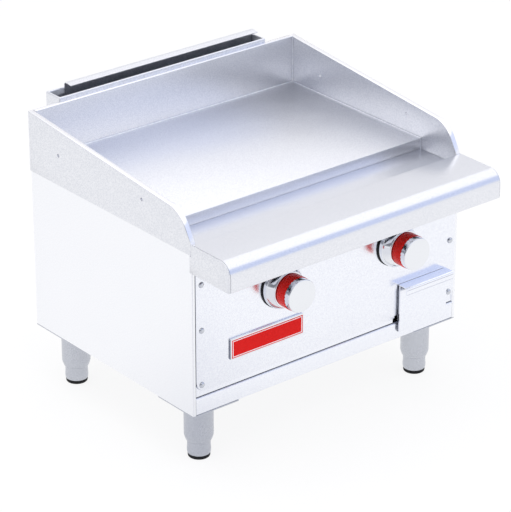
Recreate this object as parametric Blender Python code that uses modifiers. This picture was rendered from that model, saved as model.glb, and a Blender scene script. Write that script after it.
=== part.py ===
"""Countertop gas griddle, 24 in wide: a polished steel plate between splash guards on a sheet-steel cabinet.

Metres, +Z up, +X to the right of the person who faces the controls. The world origin is on the floor, at the
middle of the outline. Everything hangs on an empty named cabinet, whose own zero is the middle of the
cabinet's front face at its underside, so the sizes below are read from that corner of the real object.
"""
import math

import bmesh
import bpy
from mathutils import Vector

# ---------------------------------------------------------------- clearances and sheet
GAP = 0.0003                    # between pieces that touch
RUNNING = 0.0003                # round a shaft, a stem or a pipe
SHEET = 0.0015                  # cabinet sheet steel
THIN_SHEET = 0.0012             # liners, tray, chute

# ---------------------------------------------------------------- cabinet
CABINET_WIDTH = 0.608
CABINET_DEPTH = 0.464
CABINET_HEIGHT = 0.3033         # underside to the seam under the top
LEG_HEIGHT = 0.113              # floor to underside
SIDE_FRONT_RETURN = 0.0056
SIDE_REAR_RETURN = 0.015
PAN_FLANGE = 0.015

# ---------------------------------------------------------------- top: plate, splashes, trough, shelf
TOP_OVERHANG = 0.002            # the top stands this far outside the cabinet, each side
SPLASH_THICKNESS = 0.0105       # double skin over the hem
BACK_SPLASH_THICKNESS = 0.0095
SPLASH_RISE = 0.1152            # at the back, above the seam
SPLASH_TOP_SLOPE = math.radians(5.6)
SPLASH_FRONT_SLOPE = math.radians(59.5)
SPLASH_CORNER_RADIUS = 0.050
SPLASH_HOLE_RADIUS = 0.0035
SPLASH_HOLE_DROP = 0.0565       # below the back corner's height
SPLASH_HOLE_INSETS = (0.0892, 0.3303)   # from the back edge
PLATE_THICKNESS = 0.0254
PLATE_RISE = 0.0241             # of the cooking face above the seam
PLATE_FRONT = 0.093             # behind the cabinet's front face
TROUGH_RISE = 0.0035            # of the trough's floor above the seam
SHELF_RISE = 0.0217             # of the shelf's top above the seam
SHELF_REACH = 0.104
SHELF_FACE = 0.053              # height of its front
SHELF_NOSE_RADIUS = 0.025
SHELF_LOWER_RADIUS = 0.005
SHELF_RETURN = 0.040
SHELF_CAP_LAP = 0.004           # the end cap runs this far back over the cabinet's side

# ---------------------------------------------------------------- grease path
DRAWER_INSET = 0.085            # of its middle, from the cabinet's right side
DRAWER_WIDTH = 0.114
DRAWER_SKIRT = 0.0231           # the front hangs this far below the tray
DRAWER_CREST = 0.0142           # the front stands this far above the tray
DRAWER_STANDOFF = 0.004         # between the panel's face and the drawer front
DRAWER_CORNER_RADIUS = 0.009
HANDLE_REACH = 0.0185
HANDLE_LIP = 0.0133
HANDLE_BEND_RADIUS = 0.003
TRAY_WIDTH = 0.102
TRAY_REAR_CLEARANCE = 0.064     # to the cabinet's back
TRAY_HEIGHT = 0.061
BAY_MARGIN = 0.004              # round the tray, in the panel
BAY_NOTCH = (0.0095, 0.0049)    # relief notch at the bay's lower left corner: width, height
GUIDE_HEIGHT = 0.018
CHUTE_WIDTH = 0.058
CHUTE_DEPTH = 0.0264
CHUTE_ABOVE_TRAY = 0.017
DROP_HOLE_MARGIN = 0.0013       # inside the chute's walls

# ---------------------------------------------------------------- front
PANEL_SIDE_GAP = 0.0065         # to the cabinet's outside
PANEL_REVEAL = 0.0116           # between the rail and the panel
PANEL_PROUD = 0.0015
PANEL_RETURN = 0.003
PANEL_CORNER_RADIUS = 0.020
RAIL_SIDE_GAP = 0.007           # to the cabinet's outside
RAIL_HEIGHT = 0.032
RAIL_FLANGE = 0.020
FRAME_REVEAL = 0.0025           # between the rail and the frame
FRAME_SIDE_GAP = 0.001          # inside the panel's edge
FRAME_SILL = 0.025
FRAME_POST = 0.0195
FRAME_HEADER = 0.013
FRAME_DEPTH = 0.018
SCREW_INSET = 0.0115            # from the panel's edge
SCREW_RISES = (0.0129, 0.1164)  # of the lower two, above the panel's lower edge
SCREW_DROP = 0.057              # of the uppermost, below the panel's top
SCREW_HEAD_RADIUS = 0.0055
SCREW_HEAD_HEIGHT = 0.0028
SCREW_SHANK_RADIUS = 0.0019
SCREW_LENGTH = 0.007
NAMEPLATE_INSET = 0.1529        # of its middle, from the panel's left edge
NAMEPLATE_DROP = 0.0885         # of its middle, below the knobs' axes
NAMEPLATE_SIZE = (0.164, 0.0405)
NAMEPLATE_THICKNESS = 0.004
NAMEPLATE_RIM = 0.0022
NAMEPLATE_RECESS = 0.0010

# ---------------------------------------------------------------- controls and gas
KNOB_DROP = 0.1098              # of the axes, below the seam
KNOB_INSETS = {"left": 0.1903, "right": 0.153}     # from the cabinet's sides
KNOB_HOLE_RADIUS = 0.012
GASKET_RADIUS = 0.0417
GASKET_WIDTH = 0.006
GASKET_THICKNESS = 0.0065
BEZEL_RADIUS = 0.0408
BEZEL_NOSE_RADIUS = 0.0335
BEZEL_OPENING_RADIUS = 0.028
BEZEL_DEPTH = 0.0189
BEZEL_SKIRT = 0.0045
KNOB_RUNNING_GAP = 0.001
KNOB_CORE_RADIUS = 0.026
KNOB_RING_RADIUS = 0.031
KNOB_RING_LENGTH = 0.0202
KNOB_CAP_RADIUS = 0.0303
KNOB_CAP_LENGTH = 0.0114
KNOB_FACE_RADIUS = 0.0290
FLUTES = 24
FLUTE_RADIUS = 0.0025
FLUTE_DEPTH = 0.0011
STEM_RADIUS = 0.004
STEM_ENGAGEMENT = 0.020         # of the stem in the knob, and of the stem in the valve
VALVE_RADIUS = 0.013
VALVE_LENGTH = 0.032
VALVE_CENTRE = 0.030            # behind the cabinet's front face
VALVE_NECK_RADIUS = 0.008
VALVE_NECK_LENGTH = 0.006
ORIFICE_RADIUS = 0.007
ORIFICE_LENGTH = 0.014
PIPE_RADIUS = 0.01335           # 3/4 in steel pipe
PIPE_BORE_RADIUS = 0.0105
PIPE_BORE_DEPTH = 0.030
VALVE_TO_MANIFOLD = 0.0335      # axis to axis
MANIFOLD_TAIL = 0.032           # past the right valve
INLET_INSET = 0.042             # from the cabinet's left side
INLET_BEND_RADIUS = 0.021
INLET_REACH = 0.041             # behind the cabinet's back
BRACKET_TAIL = 0.0763           # past the left valve
BRACKET_STOP = 0.091            # short of the right valve
BRACKET_SHEET = 0.0025
BRACKET_HEIGHT = 0.030
SHIELD_STANDOFF = 0.045         # behind the valves

# ---------------------------------------------------------------- burners
MIXER_RADIUS = 0.014
MIXER_GAP = 0.002               # from the jet to the mixing tube
BURNER_RADIUS = 0.016
BURNER_DROP = 0.067             # of its middle, below the plate
BURNER_SPREAD = 0.120
BURNER_STANDOFF = 0.045         # behind the shield
BURNER_REAR_CLEARANCE = 0.034   # to the cabinet's back
BURNER_BEND_RADIUS = 0.045
SHUTTER_WALL = 0.0017
SHUTTER_LENGTH = 0.0125
SHUTTER_LIP_RADIUS = 0.009
SHUTTER_TAB = (0.006, 0.006, 0.008)
PILOT_OFFSET = 0.030
PILOT_TUBE_RADIUS = 0.003
PILOT_STANDOFF = 0.017          # behind the shield
PILOT_HEAD_RADIUS = 0.005
PILOT_HEAD_LENGTH = 0.018
REST_SHEET = 0.003
REST_WIDTH = 0.030
REST_HEIGHT = 0.030
FRONT_REST_INSET = 0.007        # behind the plate's front edge
REAR_REST_INSET = 0.016         # from the back of the cabinet
BURNER_REST_INSET = 0.024       # from the back of the cabinet
BURNER_REST_WIDTH = 0.035

# ---------------------------------------------------------------- flue
FLUE_INSET = 0.067              # from each side of the cabinet
FLUE_DEPTH = 0.0427
FLUE_CREST = 0.0065             # above the back splash
FLUE_SUMP = 0.035               # below the passage
FLUE_HEM = 0.0047
FLUE_HEM_DROP = 0.012
PASSAGE_INSET = 0.012           # from each side of the flue
PASSAGE_DROP = 0.0133           # below the seam
PASSAGE_HEIGHT = 0.075
DEFLECTOR_INSETS = (0.037, 0.0055)      # from the flue's left and right sides
DEFLECTOR_DROP = 0.020          # below the riser's rim
DEFLECTOR_RISE = 0.011          # above the riser's rim
DEFLECTOR_REACH = 0.0215
DEFLECTOR_RADIUS = 0.006
DEFLECTOR_DIP = 0.002

# ---------------------------------------------------------------- legs
LEG_INSET = 0.0503              # from the cabinet's outside, both ways
LEG_PLATE = 0.100
LEG_PLATE_THICKNESS = 0.0025
LEG_RADIUS = 0.0263
LEG_FLARE_RADIUS = 0.030
LEG_LOWER_RADIUS = 0.0225
LEG_CHAMFER = 0.009
FOOT_RADIUS = 0.0207
FOOT_FLARE_RADIUS = 0.0215
FOOT_LENGTH = 0.0265
FOOT_STEM_RADIUS = 0.009
FOOT_STEM_LENGTH = 0.040
FOOT_STEM_SLACK = 0.004
PAD_HEIGHT = 0.0062
PAD_RADIUS = 0.0200
PAD_SOLE_RADIUS = 0.0186

# ---------------------------------------------------------------- facets
ROUND_STEPS = 24
KNOB_STEPS = 32
PIPE_STEPS = 12
SMALL_STEPS = 8
ARC_STEPS = 5

# ---------------------------------------------------------------- places worked out from the sizes
HALF_CABINET = CABINET_WIDTH / 2
HALF_INNER = HALF_CABINET - SHEET - GAP            # what fits between the side panels
HALF_TOP = HALF_CABINET + TOP_OVERHANG
HALF_WELL = HALF_TOP - SPLASH_THICKNESS            # the splashes' inner faces
HALF_PANEL = HALF_CABINET - PANEL_SIDE_GAP
HALF_RAIL = HALF_CABINET - RAIL_SIDE_GAP
HALF_FLUE = HALF_CABINET - FLUE_INSET
SEAM = CABINET_HEIGHT
PLATE_TOP = SEAM + PLATE_RISE
TROUGH_FLOOR = SEAM + TROUGH_RISE
SHELF_TOP = SEAM + SHELF_RISE
SHELF_BOTTOM = SHELF_TOP - SHELF_FACE
PANEL_BOTTOM = RAIL_HEIGHT + PANEL_REVEAL
PANEL_TOP = CABINET_HEIGHT - GAP
FRAME_BOTTOM = RAIL_HEIGHT + FRAME_REVEAL
WELL_BACK = CABINET_DEPTH - BACK_SPLASH_THICKNESS
BACK_FACE = CABINET_DEPTH - SHEET - GAP            # the back panel's outer face
INNER_BACK = BACK_FACE - SHEET - GAP
FLUE_FRONT = CABINET_DEPTH + GAP
FRONT_PLANE = -(FLUE_FRONT + FLUE_DEPTH - SHELF_REACH) / 2
PANEL_BACK = PANEL_RETURN - PANEL_PROUD
BEHIND_PANEL = PANEL_BACK + GAP
TROUGH_BOTTOM = TROUGH_FLOOR - SHEET
PLATE_BOTTOM = PLATE_TOP - PLATE_THICKNESS
REST_TOP = PLATE_BOTTOM - GAP
KNOB_HEIGHT = SEAM - KNOB_DROP
KNOB_PLACES = {"left": KNOB_INSETS["left"] - HALF_CABINET, "right": HALF_CABINET - KNOB_INSETS["right"]}
MANIFOLD_HEIGHT = KNOB_HEIGHT - VALVE_TO_MANIFOLD
INLET_PLACE = INLET_INSET - HALF_CABINET
SHIELD_PLACE = VALVE_CENTRE + SHIELD_STANDOFF
MIXER_FRONT = VALVE_CENTRE + VALVE_LENGTH / 2 + ORIFICE_LENGTH + MIXER_GAP
BURNER_HEIGHT = PLATE_BOTTOM - BURNER_DROP
BURNER_FRONT = SHIELD_PLACE + BURNER_STANDOFF
BURNER_BACK = CABINET_DEPTH - BURNER_REAR_CLEARANCE
PILOT_PLACE = SHIELD_PLACE + PILOT_STANDOFF
FLUE_TOP = SEAM + SPLASH_RISE + FLUE_CREST
PASSAGE_TOP = SEAM - PASSAGE_DROP
FLUE_BOTTOM = PASSAGE_TOP - PASSAGE_HEIGHT - FLUE_SUMP
PAN_TOP = SHEET
GUIDE_BOTTOM = RAIL_HEIGHT + GAP
TRAY_BOTTOM = GUIDE_BOTTOM + SHEET + GAP
TRAY_TOP = TRAY_BOTTOM + TRAY_HEIGHT
DRAWER_CENTRE = HALF_CABINET - DRAWER_INSET
DRAWER_BOTTOM = TRAY_BOTTOM - DRAWER_SKIRT
DRAWER_TOP = TRAY_TOP + DRAWER_CREST
DRAWER_BACK = -(PANEL_PROUD + DRAWER_STANDOFF)
LEG_TOP = -(GAP + LEG_PLATE_THICKNESS)
PAD_TOP = PAD_HEIGHT - LEG_HEIGHT
FOOT_BOTTOM = PAD_TOP + GAP
FOOT_TOP = FOOT_BOTTOM + FOOT_LENGTH
LEG_BOTTOM = FOOT_TOP + GAP
GASKET_BACK = PANEL_PROUD + GAP                    # depths in front of the cabinet's face
BEZEL_BACK = GASKET_BACK + GASKET_THICKNESS + GAP
BEZEL_NOSE = BEZEL_BACK + BEZEL_DEPTH
KNOB_BACK = BEZEL_NOSE + KNOB_RUNNING_GAP
RING_BACK = KNOB_BACK + GAP
CAP_BACK = RING_BACK + KNOB_RING_LENGTH + GAP
KNOB_FACE = CAP_BACK + KNOB_CAP_LENGTH
LEG_PLACES = {
    "front_left": (-HALF_CABINET + LEG_INSET, LEG_INSET),
    "front_right": (HALF_CABINET - LEG_INSET, LEG_INSET),
    "rear_left": (-HALF_CABINET + LEG_INSET, CABINET_DEPTH - LEG_INSET),
    "rear_right": (HALF_CABINET - LEG_INSET, CABINET_DEPTH - LEG_INSET),
}
FACING_FRONT = (math.pi / 2, 0.0, 0.0)             # local +Z points out of the front
FACING_BACK = (-math.pi / 2, 0.0, 0.0)
FACING_RIGHT = (math.pi / 2, 0.0, math.pi / 2)     # local X, Y, Z run along world Y, Z, X

for leftover in list(bpy.data.objects):
    bpy.data.objects.remove(leftover, do_unlink=True)

PARTS = bpy.data.collections.new("flat_top_griddle")
CUTTERS = bpy.data.collections.new("cutters")
bpy.context.scene.collection.children.link(PARTS)
bpy.context.scene.collection.children.link(CUTTERS)


# ---------------------------------------------------------------- materials
def make_material(name, colour, roughness, metallic):
    material = bpy.data.materials.new(name)
    material.use_nodes = True
    shader = material.node_tree.nodes["Principled BSDF"]
    shader.inputs["Base Color"].default_value = (*colour, 1.0)
    shader.inputs["Roughness"].default_value = roughness
    shader.inputs["Metallic"].default_value = metallic
    return material


STAINLESS = make_material("stainless_sheet", (0.78, 0.79, 0.81), 0.28, 1.0)
PLATE_STEEL = make_material("ground_plate_steel", (0.62, 0.63, 0.65), 0.32, 1.0)
DARK_STEEL = make_material("aluminised_steel", (0.35, 0.36, 0.38), 0.50, 1.0)
CHROME = make_material("chrome", (0.86, 0.87, 0.89), 0.08, 1.0)
LEG_STEEL = make_material("satin_leg_steel", (0.60, 0.61, 0.63), 0.35, 1.0)
BRASS = make_material("brass", (0.72, 0.56, 0.28), 0.30, 1.0)
BLACK_PIPE = make_material("black_iron_pipe", (0.06, 0.06, 0.065), 0.60, 0.6)
RUBBER = make_material("black_rubber", (0.015, 0.015, 0.016), 0.70, 0.0)
RED_PLASTIC = make_material("red_plastic", (0.62, 0.02, 0.015), 0.35, 0.0)


# ---------------------------------------------------------------- making things
def joint_empty(name, location, parent=None):
    empty = bpy.data.objects.new(name, None)
    PARTS.objects.link(empty)
    empty.location = location
    empty.parent = parent
    return empty


CABINET = joint_empty("cabinet", (0.0, FRONT_PLANE, LEG_HEIGHT))


def place(obj, material, location, rotation, parent):
    obj.location = location
    obj.rotation_euler = rotation
    obj.parent = parent if parent else CABINET
    if material:
        obj.data.materials.append(material)
        PARTS.objects.link(obj)
    else:
        obj.hide_render = True
        obj.display_type = "WIRE"
        CUTTERS.objects.link(obj)
    return obj


def mesh_object(name, bm, material, location=(0, 0, 0), rotation=(0, 0, 0), parent=None):
    mesh = bpy.data.meshes.new(name)
    bm.to_mesh(mesh)
    bm.free()
    return place(bpy.data.objects.new(name, mesh), material, location, rotation, parent)


def smooth(obj):
    obj.data.shade_smooth()
    obj.data.set_sharp_from_angle(angle=math.radians(35))
    return obj


def box(name, low, high, material=None, parent=None):
    """A block from its low corner to its high corner. With no material it is a cutter."""
    low, high = Vector(low), Vector(high)
    bm = bmesh.new()
    bmesh.ops.create_cube(bm, size=1.0)
    bmesh.ops.scale(bm, vec=high - low, verts=bm.verts)
    return mesh_object(name, bm, material, (low + high) / 2, parent=parent)


def cylinder(name, radius, start, length, rotation, steps, material=None, parent=None):
    """A round bar from start, along its own +Z once turned by rotation."""
    bm = bmesh.new()
    bmesh.ops.create_cone(
        bm, cap_ends=True, segments=steps, radius1=radius, radius2=radius, depth=length)
    bmesh.ops.translate(bm, vec=(0, 0, length / 2), verts=bm.verts)
    return smooth(mesh_object(name, bm, material, start, rotation, parent))


def turned(name, profile, steps, location, rotation, material, closed=False, parent=None):
    """A body turned about its own Z from (radius, height) points that run down its outer side."""
    bm = bmesh.new()
    ring = [bm.verts.new((radius, 0, height)) for radius, height in profile]
    for first, second in zip(ring, ring[1:]):
        bm.edges.new((first, second))
    if closed:
        bm.edges.new((ring[-1], ring[0]))
    obj = mesh_object(name, bm, material, location, rotation, parent)
    screw = obj.modifiers.new("turn", "SCREW")
    screw.angle = 2 * math.pi
    screw.steps = steps
    screw.render_steps = steps
    screw.use_merge_vertices = True
    screw.merge_threshold = 0.00001
    screw.use_smooth_shade = True
    return obj


def rounded(points, radii, steps=ARC_STEPS):
    """The outline with an arc of the given radius at each numbered corner."""
    result = []
    for index, point in enumerate(points):
        corner = Vector(point)
        radius = radii.get(index, 0.0)
        if radius <= 0.0:
            result.append(corner)
            continue
        to_last = (Vector(points[index - 1]) - corner).normalized()
        to_next = (Vector(points[(index + 1) % len(points)]) - corner).normalized()
        half_angle = to_last.angle(to_next) / 2
        centre = corner + (to_last + to_next).normalized() * radius / math.sin(half_angle)
        reach = radius / math.tan(half_angle)
        first = corner + to_last * reach - centre
        turn = first.angle_signed(corner + to_next * reach - centre)
        for step in range(steps + 1):
            angle = -turn * step / steps
            spun = Vector((
                first.x * math.cos(angle) - first.y * math.sin(angle),
                first.x * math.sin(angle) + first.y * math.cos(angle)))
            result.append(centre + spun)
    return result


def to_mesh(curve_object, name, material, parent=None):
    """The curve's own shape as a mesh body, with its caps welded on."""
    bpy.context.view_layer.update()
    depsgraph = bpy.context.evaluated_depsgraph_get()
    mesh = bpy.data.meshes.new_from_object(curve_object.evaluated_get(depsgraph))
    bm = bmesh.new()
    bm.from_mesh(mesh)
    bmesh.ops.remove_doubles(bm, verts=bm.verts, dist=0.00001)
    bmesh.ops.recalc_face_normals(bm, faces=bm.faces)
    location = curve_object.location.copy()
    rotation = curve_object.rotation_euler.copy()
    bpy.data.objects.remove(curve_object, do_unlink=True)
    bpy.data.meshes.remove(mesh)
    return mesh_object(name, bm, material, location, rotation, parent)


def outline(name, points, thickness, location, rotation, material=None, parent=None):
    """A flat plate from a 2D outline, thickness upwards from its own Z = 0."""
    curve = bpy.data.curves.new(name + "_outline", "CURVE")
    curve.dimensions = "2D"
    curve.fill_mode = "BOTH"
    curve.extrude = thickness / 2
    spline = curve.splines.new("POLY")
    spline.points.add(len(points) - 1)
    for spot, point in zip(spline.points, points):
        spot.co = (point[0], point[1], 0.0, 1.0)
    spline.use_cyclic_u = True
    holder = bpy.data.objects.new(name + "_outline", curve)
    PARTS.objects.link(holder)
    holder.location = location
    holder.rotation_euler = rotation
    obj = to_mesh(holder, name, material, parent)
    for vertex in obj.data.vertices:
        vertex.co.z += thickness / 2
    return obj


def tube(name, points, radius, material, parent=None, resolution=1, closed=False):
    """A round tube along the points, with filled ends; its facets are 4 + 4 * resolution."""
    curve = bpy.data.curves.new(name + "_path", "CURVE")
    curve.dimensions = "3D"
    curve.bevel_depth = radius
    curve.bevel_resolution = resolution
    curve.use_fill_caps = not closed
    spline = curve.splines.new("POLY")
    spline.points.add(len(points) - 1)
    for spot, point in zip(spline.points, points):
        spot.co = (*point, 1.0)
    spline.use_cyclic_u = closed
    holder = bpy.data.objects.new(name + "_path", curve)
    PARTS.objects.link(holder)
    return smooth(to_mesh(holder, name, material, parent))


def solidify(obj, thickness, side):
    modifier = obj.modifiers.new("sheet", "SOLIDIFY")
    modifier.thickness = thickness
    modifier.offset = side
    modifier.use_even_offset = True
    return obj


def folded_sheet(name, profile, sweep, thickness, side, material, parent=None):
    """Sheet metal bent along an open profile of 3D points and drawn along sweep."""
    bm = bmesh.new()
    line = [bm.verts.new(point) for point in profile]
    edges = [bm.edges.new(pair) for pair in zip(line, line[1:])]
    drawn = bmesh.ops.extrude_edge_only(bm, edges=edges)
    moved = [item for item in drawn["geom"] if isinstance(item, bmesh.types.BMVert)]
    bmesh.ops.translate(bm, vec=sweep, verts=moved)
    return solidify(mesh_object(name, bm, material, parent=parent), thickness, side)


def open_box(name, low, high, missing, thickness, material=None, parent=None):
    """A thin-walled box, open on the sides whose outward directions are listed."""
    obj = box(name, low, high, material, parent)
    bm = bmesh.new()
    bm.from_mesh(obj.data)
    bm.normal_update()
    gone = [face for face in bm.faces for way in missing if face.normal.dot(Vector(way)) > 0.9]
    bmesh.ops.delete(bm, geom=gone, context="FACES")
    bm.to_mesh(obj.data)
    bm.free()
    return solidify(obj, thickness, -1)


def boolean(obj, other, operation):
    modifier = obj.modifiers.new(other.name, "BOOLEAN")
    modifier.operation = operation
    modifier.solver = "EXACT"
    modifier.object = other


def cut(obj, *cutters):
    for cutter in cutters:
        boolean(obj, cutter, "DIFFERENCE")
    return obj


def fuse(obj, *pieces):
    """Joins the pieces to the body for good, so that it is one solid in one node."""
    for piece in pieces:
        boolean(obj, piece, "UNION")
    return obj


def in_profile(points, across=0.0):
    """Points given as (depth, height), as 3D points at one place across."""
    return [Vector((across, point[0], point[1])) for point in points]


# ---------------------------------------------------------------- cabinet shell
def side_panel(side, sign):
    outside = sign * HALF_CABINET
    plan = [
        (outside - sign * SIDE_FRONT_RETURN, 0.0),
        (outside, 0.0),
        (outside, CABINET_DEPTH),
        (outside - sign * SIDE_REAR_RETURN, CABINET_DEPTH),
    ]
    profile = [Vector((x, y, 0.0)) for x, y in plan]
    folded_sheet("side_panel_" + side, profile, (0, 0, CABINET_HEIGHT), SHEET, sign, STAINLESS)


side_panel("left", -1)
side_panel("right", 1)

BACK = box(
    "back_panel", (-HALF_INNER, INNER_BACK + GAP, 0.0), (HALF_INNER, BACK_FACE, CABINET_HEIGHT), STAINLESS)
FLUE_PASSAGE = box(
    "flue_passage",
    (-HALF_FLUE + PASSAGE_INSET, INNER_BACK - SHEET, PASSAGE_TOP - PASSAGE_HEIGHT),
    (HALF_FLUE - PASSAGE_INSET, FLUE_FRONT + 2 * SHEET, PASSAGE_TOP))
INLET_CUTTER = cylinder(
    "inlet_cutter", PIPE_RADIUS + RUNNING, (INLET_PLACE, CABINET_DEPTH, MANIFOLD_HEIGHT),
    CABINET_DEPTH - SHIELD_PLACE + PIPE_RADIUS, FACING_FRONT, ROUND_STEPS)
cut(BACK, FLUE_PASSAGE, INLET_CUTTER)

open_box(
    "bottom_panel",
    (-HALF_INNER, RAIL_FLANGE + 2 * GAP, 0.0), (HALF_INNER, INNER_BACK, PAN_FLANGE),
    [(0, 0, 1)], SHEET, STAINLESS)

folded_sheet(
    "bottom_rail",
    in_profile([(RAIL_FLANGE, RAIL_HEIGHT), (0, RAIL_HEIGHT), (0, 0), (RAIL_FLANGE, 0)], -HALF_RAIL),
    (2 * HALF_RAIL, 0, 0), SHEET, 1, STAINLESS)

# ---------------------------------------------------------------- plate, splashes, trough, shelf
box(
    "griddle_plate",
    (-HALF_WELL + GAP, PLATE_FRONT, PLATE_BOTTOM), (HALF_WELL - GAP, WELL_BACK - GAP, PLATE_TOP), PLATE_STEEL)


def splash_outline():
    """The raised part of a side splash, as (depth, height): back, sloping top, round corner, front slope."""
    back_top = SEAM + SPLASH_RISE
    slope = math.tan(SPLASH_TOP_SLOPE)
    steep = math.tan(SPLASH_FRONT_SLOPE)
    corner_depth = (back_top - CABINET_DEPTH * slope - SHELF_TOP) / (steep - slope)
    points = [
        (CABINET_DEPTH, SEAM + GAP),
        (CABINET_DEPTH, back_top),
        (corner_depth, SHELF_TOP + corner_depth * steep),
        (0.0, SHELF_TOP),
        (0.0, SEAM + GAP),
    ]
    return points


def shelf_nose(back, foot):
    """The bullnose section of the shelf, from its top at back to its underside at foot."""
    points = [(back, SHELF_TOP), (-SHELF_REACH, SHELF_TOP), (-SHELF_REACH, SHELF_BOTTOM), (foot, SHELF_BOTTOM)]
    return points, {1: SHELF_NOSE_RADIUS, 2: SHELF_LOWER_RADIUS}


def side_splash(side, sign):
    """Double skin, folded over at the top. Its outer skin runs on to close the shelf's end."""
    raised = splash_outline()
    nose, nose_radii = shelf_nose(-GAP, SHELF_CAP_LAP)
    whole = raised[:4] + nose[1:] + [(SHELF_CAP_LAP, SEAM + GAP)]
    radii = {2: SPLASH_CORNER_RADIUS, 4: nose_radii[1], 5: nose_radii[2]}
    start = HALF_WELL if sign > 0 else -HALF_TOP
    body = outline(
        "splash_" + side, rounded(whole, radii), SPLASH_THICKNESS, (start, 0, 0), FACING_RIGHT, STAINLESS)
    hollow = [
        (CABINET_DEPTH - SHEET, -SEAM),
        (CABINET_DEPTH - SHEET, raised[1][1] - SHEET / math.cos(SPLASH_TOP_SLOPE)),
        (raised[2][0] + SHEET, raised[2][1] - SHEET),
        (SHEET / math.sin(SPLASH_FRONT_SLOPE), SHELF_TOP - SHEET),
        (SHEET / math.sin(SPLASH_FRONT_SLOPE), -SEAM),
    ]
    inner = outline(
        "splash_hollow_" + side,
        rounded([(y, max(z, SHELF_BOTTOM - SHEET)) for y, z in hollow], {2: SPLASH_CORNER_RADIUS - SHEET}),
        SPLASH_THICKNESS - 2 * SHEET, (start + SHEET, 0, 0), FACING_RIGHT)
    edge = sign * (HALF_WELL - SHEET)
    skin = sign * (HALF_TOP - SHEET)
    across = (min(edge, skin), max(edge, skin))
    shelf_end = box(
        "shelf_end_" + side, (across[0], -2 * SHELF_REACH, SHELF_BOTTOM - SHEET),
        (across[1], -GAP, SHELF_TOP + SHEET))
    below = box(
        "below_seam_" + side, (across[0], -2 * SHELF_REACH, SHELF_BOTTOM - SHEET),
        (across[1], 2 * SHELF_CAP_LAP, SEAM + GAP))
    holes = [
        cylinder(
            "splash_hole_%s_%d" % (side, number), SPLASH_HOLE_RADIUS,
            (-HALF_TOP - SHEET if sign < 0 else HALF_WELL - SHEET, CABINET_DEPTH - inset,
             SEAM + SPLASH_RISE - SPLASH_HOLE_DROP),
            SPLASH_THICKNESS + 2 * SHEET, FACING_RIGHT, PIPE_STEPS)
        for number, inset in enumerate(SPLASH_HOLE_INSETS)
    ]
    cut(body, shelf_end, below, inner, *holes)


side_splash("left", -1)
side_splash("right", 1)

open_box(
    "splash_back",
    (-HALF_WELL + GAP, WELL_BACK, SEAM + GAP), (HALF_WELL - GAP, CABINET_DEPTH, SEAM + SPLASH_RISE),
    [(0, 0, -1)], SHEET, STAINLESS)

NOSE, NOSE_RADII = shelf_nose(-GAP, -SHELF_REACH + SHELF_RETURN)
SHELF_SECTION = [(-GAP, SEAM + 2 * GAP)] + NOSE
folded_sheet(
    "front_shelf",
    in_profile(
        rounded(SHELF_SECTION, {corner + 1: radius for corner, radius in NOSE_RADII.items()}),
        -HALF_TOP + SHEET + GAP),
    (2 * (HALF_TOP - SHEET - GAP), 0, 0), SHEET, 1, STAINLESS)

TROUGH = folded_sheet(
    "grease_trough",
    in_profile(
        [(GAP, SHELF_TOP - SHEET), (GAP, TROUGH_BOTTOM), (PLATE_FRONT - GAP, TROUGH_BOTTOM)], -HALF_WELL + GAP),
    (2 * (HALF_WELL - GAP), 0, 0), SHEET, 1, STAINLESS)

# ---------------------------------------------------------------- grease spout, drawer, guide
CHUTE_FRONT = BEHIND_PANEL + SHEET + GAP
CHUTE_SIDES = (DRAWER_CENTRE - CHUTE_WIDTH / 2, DRAWER_CENTRE + CHUTE_WIDTH / 2)
SPOUT = open_box(
    "spout_blank",
    (CHUTE_SIDES[0], CHUTE_FRONT, TRAY_TOP + CHUTE_ABOVE_TRAY),
    (CHUTE_SIDES[1], CHUTE_FRONT + CHUTE_DEPTH, TROUGH_FLOOR - SHEET / 2),
    [(0, 0, 1), (0, 0, -1)], THIN_SHEET)
DROP_INSET = THIN_SHEET + DROP_HOLE_MARGIN
fuse(TROUGH, SPOUT)
cut(TROUGH, box(
    "drop_hole",
    (CHUTE_SIDES[0] + DROP_INSET, CHUTE_FRONT + DROP_INSET, TROUGH_BOTTOM - SHEET),
    (CHUTE_SIDES[1] - DROP_INSET, CHUTE_FRONT + CHUTE_DEPTH - DROP_INSET, TROUGH_FLOOR + SHEET)))

DRAWER = joint_empty("drawer_slide", (DRAWER_CENTRE, 0.0, TRAY_BOTTOM), CABINET)
FRONT_SECTION = [
    (DRAWER_BACK, DRAWER_BOTTOM),
    (DRAWER_BACK, DRAWER_TOP),
    (DRAWER_BACK - HANDLE_REACH, DRAWER_TOP),
    (DRAWER_BACK - HANDLE_REACH, DRAWER_TOP - HANDLE_LIP),
]
FRONT_PROFILE = [
    point - Vector((0, 0, TRAY_BOTTOM))
    for point in in_profile(
        rounded(FRONT_SECTION, {1: HANDLE_BEND_RADIUS, 2: HANDLE_BEND_RADIUS}), -DRAWER_WIDTH / 2)
]
DRAWER_FRONT = folded_sheet(
    "drawer_front", FRONT_PROFILE, (DRAWER_WIDTH, 0, 0), SHEET, 1, STAINLESS, DRAWER)
DRAWER_BLANK = outline(
    "drawer_blank",
    rounded(
        [(-DRAWER_WIDTH / 2, DRAWER_BOTTOM - TRAY_BOTTOM), (DRAWER_WIDTH / 2, DRAWER_BOTTOM - TRAY_BOTTOM),
         (DRAWER_WIDTH / 2, DRAWER_TOP), (-DRAWER_WIDTH / 2, DRAWER_TOP)],
        {0: DRAWER_CORNER_RADIUS, 1: DRAWER_CORNER_RADIUS}),
    2 * HANDLE_REACH + 2 * DRAWER_STANDOFF, (0, 0, 0), FACING_FRONT, parent=DRAWER)
boolean(DRAWER_FRONT, DRAWER_BLANK, "INTERSECT")
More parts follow.
